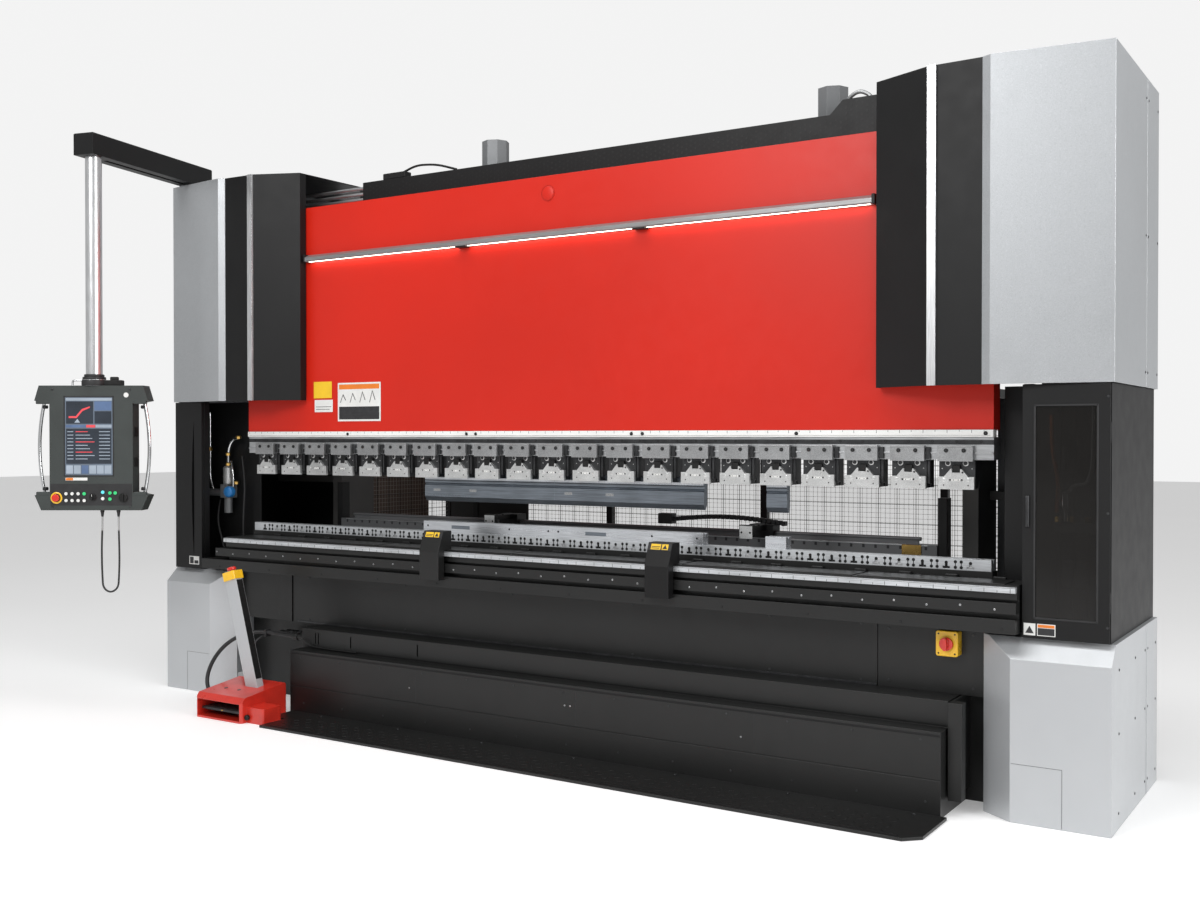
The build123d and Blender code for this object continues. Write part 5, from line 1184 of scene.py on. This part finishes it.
def pendant_face():
    """Bezel, control strip, lamps, selectors and bumps of the panel's front."""
    shape = Shape(panel)
    face = case_front
    for x_span, y_span in (
        ((-0.144, -0.138), (-0.150, 0.274)), ((0.114, 0.120), (-0.150, 0.274)),
        ((-0.144, 0.120), (-0.150, -0.144)), ((-0.144, 0.120), (0.268, 0.274)),
    ):
        shape.box((x_span[0], y_span[0], face - 0.001), (x_span[1], y_span[1], face + 0.002), 0.0012)
    shape.box((-0.215, -half_height + 0.026, face - 0.001), (0.215, -half_height + 0.140, face + 0.0012),
              0.001)
    shape.tint = 1
    shape.box((-0.136, -0.172, face - 0.0005), (-0.020, -0.157, face + 0.001), 0.0004)
    shape.tint = 2
    shape.box((-0.134, -0.171, face), (-0.096, -0.158, face + 0.0014), 0.0004)
    strip = -half_height
    spots = {
        3: [(-0.036, 0.088), (0.100, 0.092), (0.128, 0.092), (0.100, 0.060)],
        4: [(0.062, 0.096)],
        5: [(0.062, 0.062)],
    }
    for tint, places in spots.items():
        for x, rise in places:
            shape.tint = 6
            shape.turned([(0.0125, 0), (0.0125, 0.002), (0.011, 0.003)], (x, strip + rise, face),
                         (0, 0, 1), 24)
            shape.tint = tint
            shape.turned([(0.009, 0.002), (0.009, 0.006), (0.007, 0.0075)], (x, strip + rise, face),
                         (0, 0, 1), 24)
    shape.tint = 6
    for x, rise, radius in ((0.010, 0.070, 0.017), (0.172, 0.066, 0.022)):
        shape.turned([(radius + 0.004, 0), (radius + 0.004, 0.0015), (radius, 0.004), (radius, 0.010),
                      (radius * 0.86, 0.013)], (x, strip + rise, face), (0, 0, 1), 32)
        shape.box((x - 0.0035, strip + rise - radius * 0.9, face + 0.012),
                  (x + 0.0035, strip + rise + radius * 0.9, face + 0.021), 0.0012)
    shape.tint = 5
    shape.box((0.009, strip + 0.074, face + 0.0205), (0.011, strip + 0.084, face + 0.0214), 0.0002)
    shape.tint = 1
    shape.turned([(0.013, 0), (0.013, 0.0008)], (0.186, half_height - 0.050, face), (0, 0, 1), 28)
    shape.done("panel_controls", "pendant", "dark_plastic", soft_black, label_white, label_orange,
               key_green, key_cyan, label_white, socket_black)

    ring = Shape(panel)
    stop = (-0.184, -half_height + 0.066, face)
    ring.turned([(0.031, 0), (0.031, 0.0012), (0.027, 0.003), (0.0225, 0.003), (0.0225, 0.0004)],
                stop, (0, 0, 1), 40)
    ring.tint = 1
    ring.turned([(0.0195, 0), (0.0195, 0.0050), (0.014, 0.0055)], stop, (0, 0, 1), 32)
    ring.done("stop_ring", "pendant", "yellow_plastic", yellow_gloss, soft_black)

    collars = Shape(panel)
    for x, rise in ((-0.132, 0.088), (-0.100, 0.088), (-0.068, 0.088), (-0.132, 0.052),
                    (-0.100, 0.052), (-0.068, 0.052), (-0.036, 0.052)):
        collars.turned([(0.0125, 0), (0.0125, 0.0022), (0.0108, 0.0028), (0.0090, 0.0028),
                        (0.0090, 0)], (x, strip + rise, face), (0, 0, 1), 26)
    collars.done("key_collars", "pendant", "dark_plastic", socket_black)


def pendant_body():
    shape = Shape(panel)
    for side in (-1, 1):
        for rise in (-0.10, 0.06):
            shape.tint = 1
            xs = sorted((side * 0.2195, side * 0.223))
            shape.box((xs[0], rise, -0.030), (xs[1], rise + 0.05, 0.030), 0.001)
        for top in (-1, 1):
            shape.tint = 0
            middle = top * (half_height - 0.088)
            xs = sorted((side * 0.225, side * 0.292))
            shape.box((xs[0], middle - 0.010, 0.030), (xs[1], middle + 0.010, case_front + 0.002),
                      0.003)
            shape.tint = 2
            socket_x = side * 0.262
            shape.turned([(0.013, 0), (0.015, 0.003), (0.015, 0.014), (0.011, 0.018)],
                         (socket_x, top * (half_height - 0.104), 0), (0, -top, 0), 20)
    shape.tint = 0
    shape.box((-0.19, half_height - 0.030, -0.080), (0.19, half_height - 0.004, case_front - 0.006),
              0.006)
    shape.tint = 1
    for rise in spread(-0.16, 0.16, 9):
        shape.box((-0.13, rise - 0.004, -0.0885), (0.13, rise + 0.004, -0.087), 0.0004)
    shape.tint = 3
    for x in (-0.205, 0.205):
        for y in (-half_height + 0.02, half_height - 0.02):
            socket_screw(shape, (x, y, case_front), (0, 0, 1), 0.006, 0.002, 2, 3)
    shape.done("panel_trim", "pendant", "dark_plastic", case_plastic, socket_black, dark_steel, ink)

    lamp = Shape(panel)
    lamp.box((0.050, half_height, -0.030), (0.150, half_height + 0.030, 0.020), 0.004)
    lamp.box((0.085, half_height + 0.028, -0.020), (0.125, half_height + 0.048, 0.008), 0.004)
    lamp.tint = 1
    lamp.tube([(-0.12, half_height, -0.010), (-0.12, half_height + 0.030, -0.010),
               (-0.04, half_height + 0.030, -0.010), (-0.04, half_height, -0.010)], 0.005, 12)
    lamp.done("panel_top_units", "pendant", "dark_plastic", socket_black, chrome)

    reliefs = Shape(panel)
    for x in (0.040, 0.126):
        reliefs.turned([(0.0105, 0), (0.0105, 0.010), (0.0085, 0.014), (0.0062, 0.034), (0.0052, 0.036)],
                       (x, -half_height, 0), (0, -1, 0), 20)
    reliefs.done("pendant_cord_glands", "pendant", "dark_plastic", soft_black)

    collar = Shape()
    top = case_box[1].z
    for rise, radius in ((0.032, 0.058), (0.046, 0.050)):
        collar.turned([(radius, 0), (radius + 0.001, 0.003), (radius + 0.001, 0.010), (radius, 0.014)],
                      (post_axis.x, post_axis.y, top + rise), UP, 40)
    collar.turned([(0.0625, 0), (0.064, 0.004), (0.064, 0.026), (0.061, 0.0318)],
                  (post_axis.x, post_axis.y, top + 0.0004), UP, 48)
    collar.done("post_collar", "pendant", "dark_plastic", soft_black)

    arm_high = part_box("pendant_arm")[1]
    seam = Shape()
    seam.turned([(0.052, 0), (0.054, 0.002), (0.054, 0.0026), (0.050, 0.0032)],
                (post_axis.x, post_axis.y, arm_high.z - 0.0034), UP, 40)
    seam.done("arm_cap", "arm", "black_paint", black_powder)


# ---- foot switch -------------------------------------------------------------------------------
def foot_switch_details():
    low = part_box("foot_switch_base")[0]
    shape = Shape()
    left, right = low.x, low.x + 0.348
    front = low.y
    shape.box((left + 0.016, front - 0.0005, 0.097), (right - 0.016, front + 0.012, 0.103), 0.002)
    shape.tint = 1
    for x in (left + 0.10, left + 0.20):
        shape.turned([(0.010, 0), (0.011, 0.001), (0.0095, 0.0025)], (x, front + 0.12, 0.1398),
                     (0, -0.12, 1), 20)
    shape.tint = 2
    shape.turned([(0.012, 0), (0.014, 0.003), (0.014, 0.014), (0.010, 0.018)],
                 (right + 0.012, front + 0.038, 0.030), FRONT, 18)
    shape.done("hood_trim", "frame", "red_cast", cast_red, dark_steel, socket_black)

    boots = Shape()
    boots.turned([(0.020, 0), (0.020, 0.010), (0.0165, 0.014), (0.0122, 0.044), (0.0115, 0.046)],
                 (-1.848, -0.430, 0.034), (-1, 0, 0), 24)
    boots.turned([(0.014, 0), (0.014, 0.008), (0.011, 0.012), (0.0080, 0.034), (0.0074, 0.036)],
                 (-1.712, -0.380, 0.086), (0, 1, 0), 24)
    for y, radius in ((-0.200, 0.021), (-0.150, 0.0155)):
        for x in (-1.512, -1.530, -1.606, -1.622):
            boots.turned([(radius - 0.001, 0), (radius, 0.002), (radius, 0.008), (radius - 0.001, 0.010)],
                         (x, y, 0.375), (-1, 0, 0), 8)
    boots.done("cable_boots", "frame", "cable_rubber", soft_black)

    tie = Shape()
    tie.box((-1.832, -0.240, 0.360), (-1.818, -0.200, 0.402), 0.004)
    tie.done("cable_tie", "frame", "cable_rubber", soft_black)

    treadle_low, treadle_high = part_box("foot_treadle")
    pad = Shape()
    for number in range(7):
        x = treadle_low.x + 0.035 + number * 0.038
        pad.box((x, treadle_low.y + 0.004, treadle_high.z - 0.0045),
                (x + 0.026, treadle_low.y + 0.009, treadle_high.z - 0.0025), 0.0008)
    pad.tint = 1
    middle = (treadle_low.x + treadle_high.x) / 2
    pad.box((middle - 0.008, treadle_low.y - 0.004, treadle_low.z + 0.004),
            (middle + 0.008, treadle_low.y + 0.004, treadle_high.z - 0.006), 0.002)
    pad.done("treadle_pads", "treadle", "black_paint", soft_black, brass)


def foot_post_details():
    """White ring under the mushroom and a dark channel down the side of the post."""
    lean = math.radians(16)
    along = Vector((-math.sin(lean), 0, math.cos(lean)))
    sideways = Vector((math.cos(lean), 0, math.sin(lean)))
    foot = Vector((-1.612, -0.500, 0.125))
    place = Matrix.Translation(foot) @ Matrix((sideways, (0, 1, 0), along)).transposed().to_4x4()
    shape = Shape(place)
    shape.box((0.0430, -0.0200, 0.060), (0.0440, 0.0200, 0.598), 0.0004)
    shape.tint = 1
    shape.turned([(0.0385, 0), (0.0385, 0.0005), (0.034, 0.0008), (0.014, 0.0008)], (0, 0, 0.650),
                 (0, 0, 1), 40)
    shape.tint = 2
    for x in (-0.036, 0.036):
        for y in (-0.029, 0.029):
            socket_screw(shape, (x, y, 0.650), (0, 0, 1), 0.0035, 0.0014, 2, 0)
    shape.done("stop_box_trim", "frame", "silver_paint", socket_black, label_white, dark_steel)


def cabinet_details():
    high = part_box("electrical_cabinet")[1]
    shape = Shape()
    for row in range(8):
        z = 1.28 + row * 0.022
        shape.box((high.x - 0.22, high.y - 0.0290, z),
                  (high.x - 0.08, high.y - 0.0262, z + 0.010), 0.001)
    shape.tint = 1
    for z in (0.22, 0.82, 1.42):
        shape.turned([(0.008, 0), (0.009, 0.002), (0.009, 0.056), (0.008, 0.058)],
                     (high.x - 0.005, high.y - 0.020, z), UP, 16)
    shape.done("cabinet_louvres", "frame", "grey_paint", ink, dark_steel)


# ---- stage and light ---------------------------------------------------------------------------
def stage():
    mesh = bpy.data.meshes.new("floor")
    reach = 40
    mesh.from_pydata([(-reach, -reach, 0), (reach, -reach, 0), (reach, reach, 0), (-reach, reach, 0)],
                     [], [(0, 1, 2, 3)])
    mesh.materials.append(floor_finish())
    floor = bpy.data.objects.new("floor", mesh)
    floor.location.z = -0.001
    bpy.context.scene.collection.objects.link(floor)


def soft_light(name, spot, target, size, power, colour=(1, 1, 1)):
    lamp = bpy.data.lights.new(name, "AREA")
    lamp.shape = "RECTANGLE"
    lamp.size, lamp.size_y = size
    lamp.energy = power
    lamp.color = colour
    holder = bpy.data.objects.new(name, lamp)
    holder.location = spot
    holder.rotation_euler = (Vector(target) - Vector(spot)).to_track_quat("-Z", "Y").to_euler()
    bpy.context.scene.collection.objects.link(holder)


ram_details()
ram_labels()
holder_details()
tool_details()
die_rail_details()
table_details()
lower_box_details()
tread_pattern()
support_labels()
isolator_details()
cover_details()
door_details()
air_details()
top_details()
mesh_guard()
gauge_details()
pendant_screen()
pendant_face()
pendant_body()
foot_switch_details()
foot_post_details()
cabinet_details()
stage()

world = bpy.data.worlds.new("studio")
world.use_nodes = True
seen = world.node_tree.nodes["Background"]
seen.inputs["Color"].default_value = (0.90, 0.90, 0.90, 1)
lit = world.node_tree.nodes.new("ShaderNodeBackground")
lit.inputs["Color"].default_value = (1.0, 1.0, 1.0, 1)
lit.inputs["Strength"].default_value = 0.42
either = world.node_tree.nodes.new("ShaderNodeMixShader")
rays = world.node_tree.nodes.new("ShaderNodeLightPath")
world.node_tree.links.new(rays.outputs["Is Camera Ray"], either.inputs[0])
world.node_tree.links.new(lit.outputs[0], either.inputs[1])
world.node_tree.links.new(seen.outputs[0], either.inputs[2])
world.node_tree.links.new(either.outputs[0],
                          world.node_tree.nodes["World Output"].inputs["Surface"])
bpy.context.scene.world = world
soft_light("key", (-0.5, -7.5, 5.5), (0, 0, 1.4), (4.0, 3.0), 280)
soft_light("fill", (8.5, -1.5, 3.5), (2.2, 0.2, 1.4), (3.0, 4.0), 330)
soft_light("top", (0, -1.5, 6.5), (0, 0, 1.5), (6.0, 2.0), 150)
bpy.context.scene.view_settings.view_transform = "Standard"
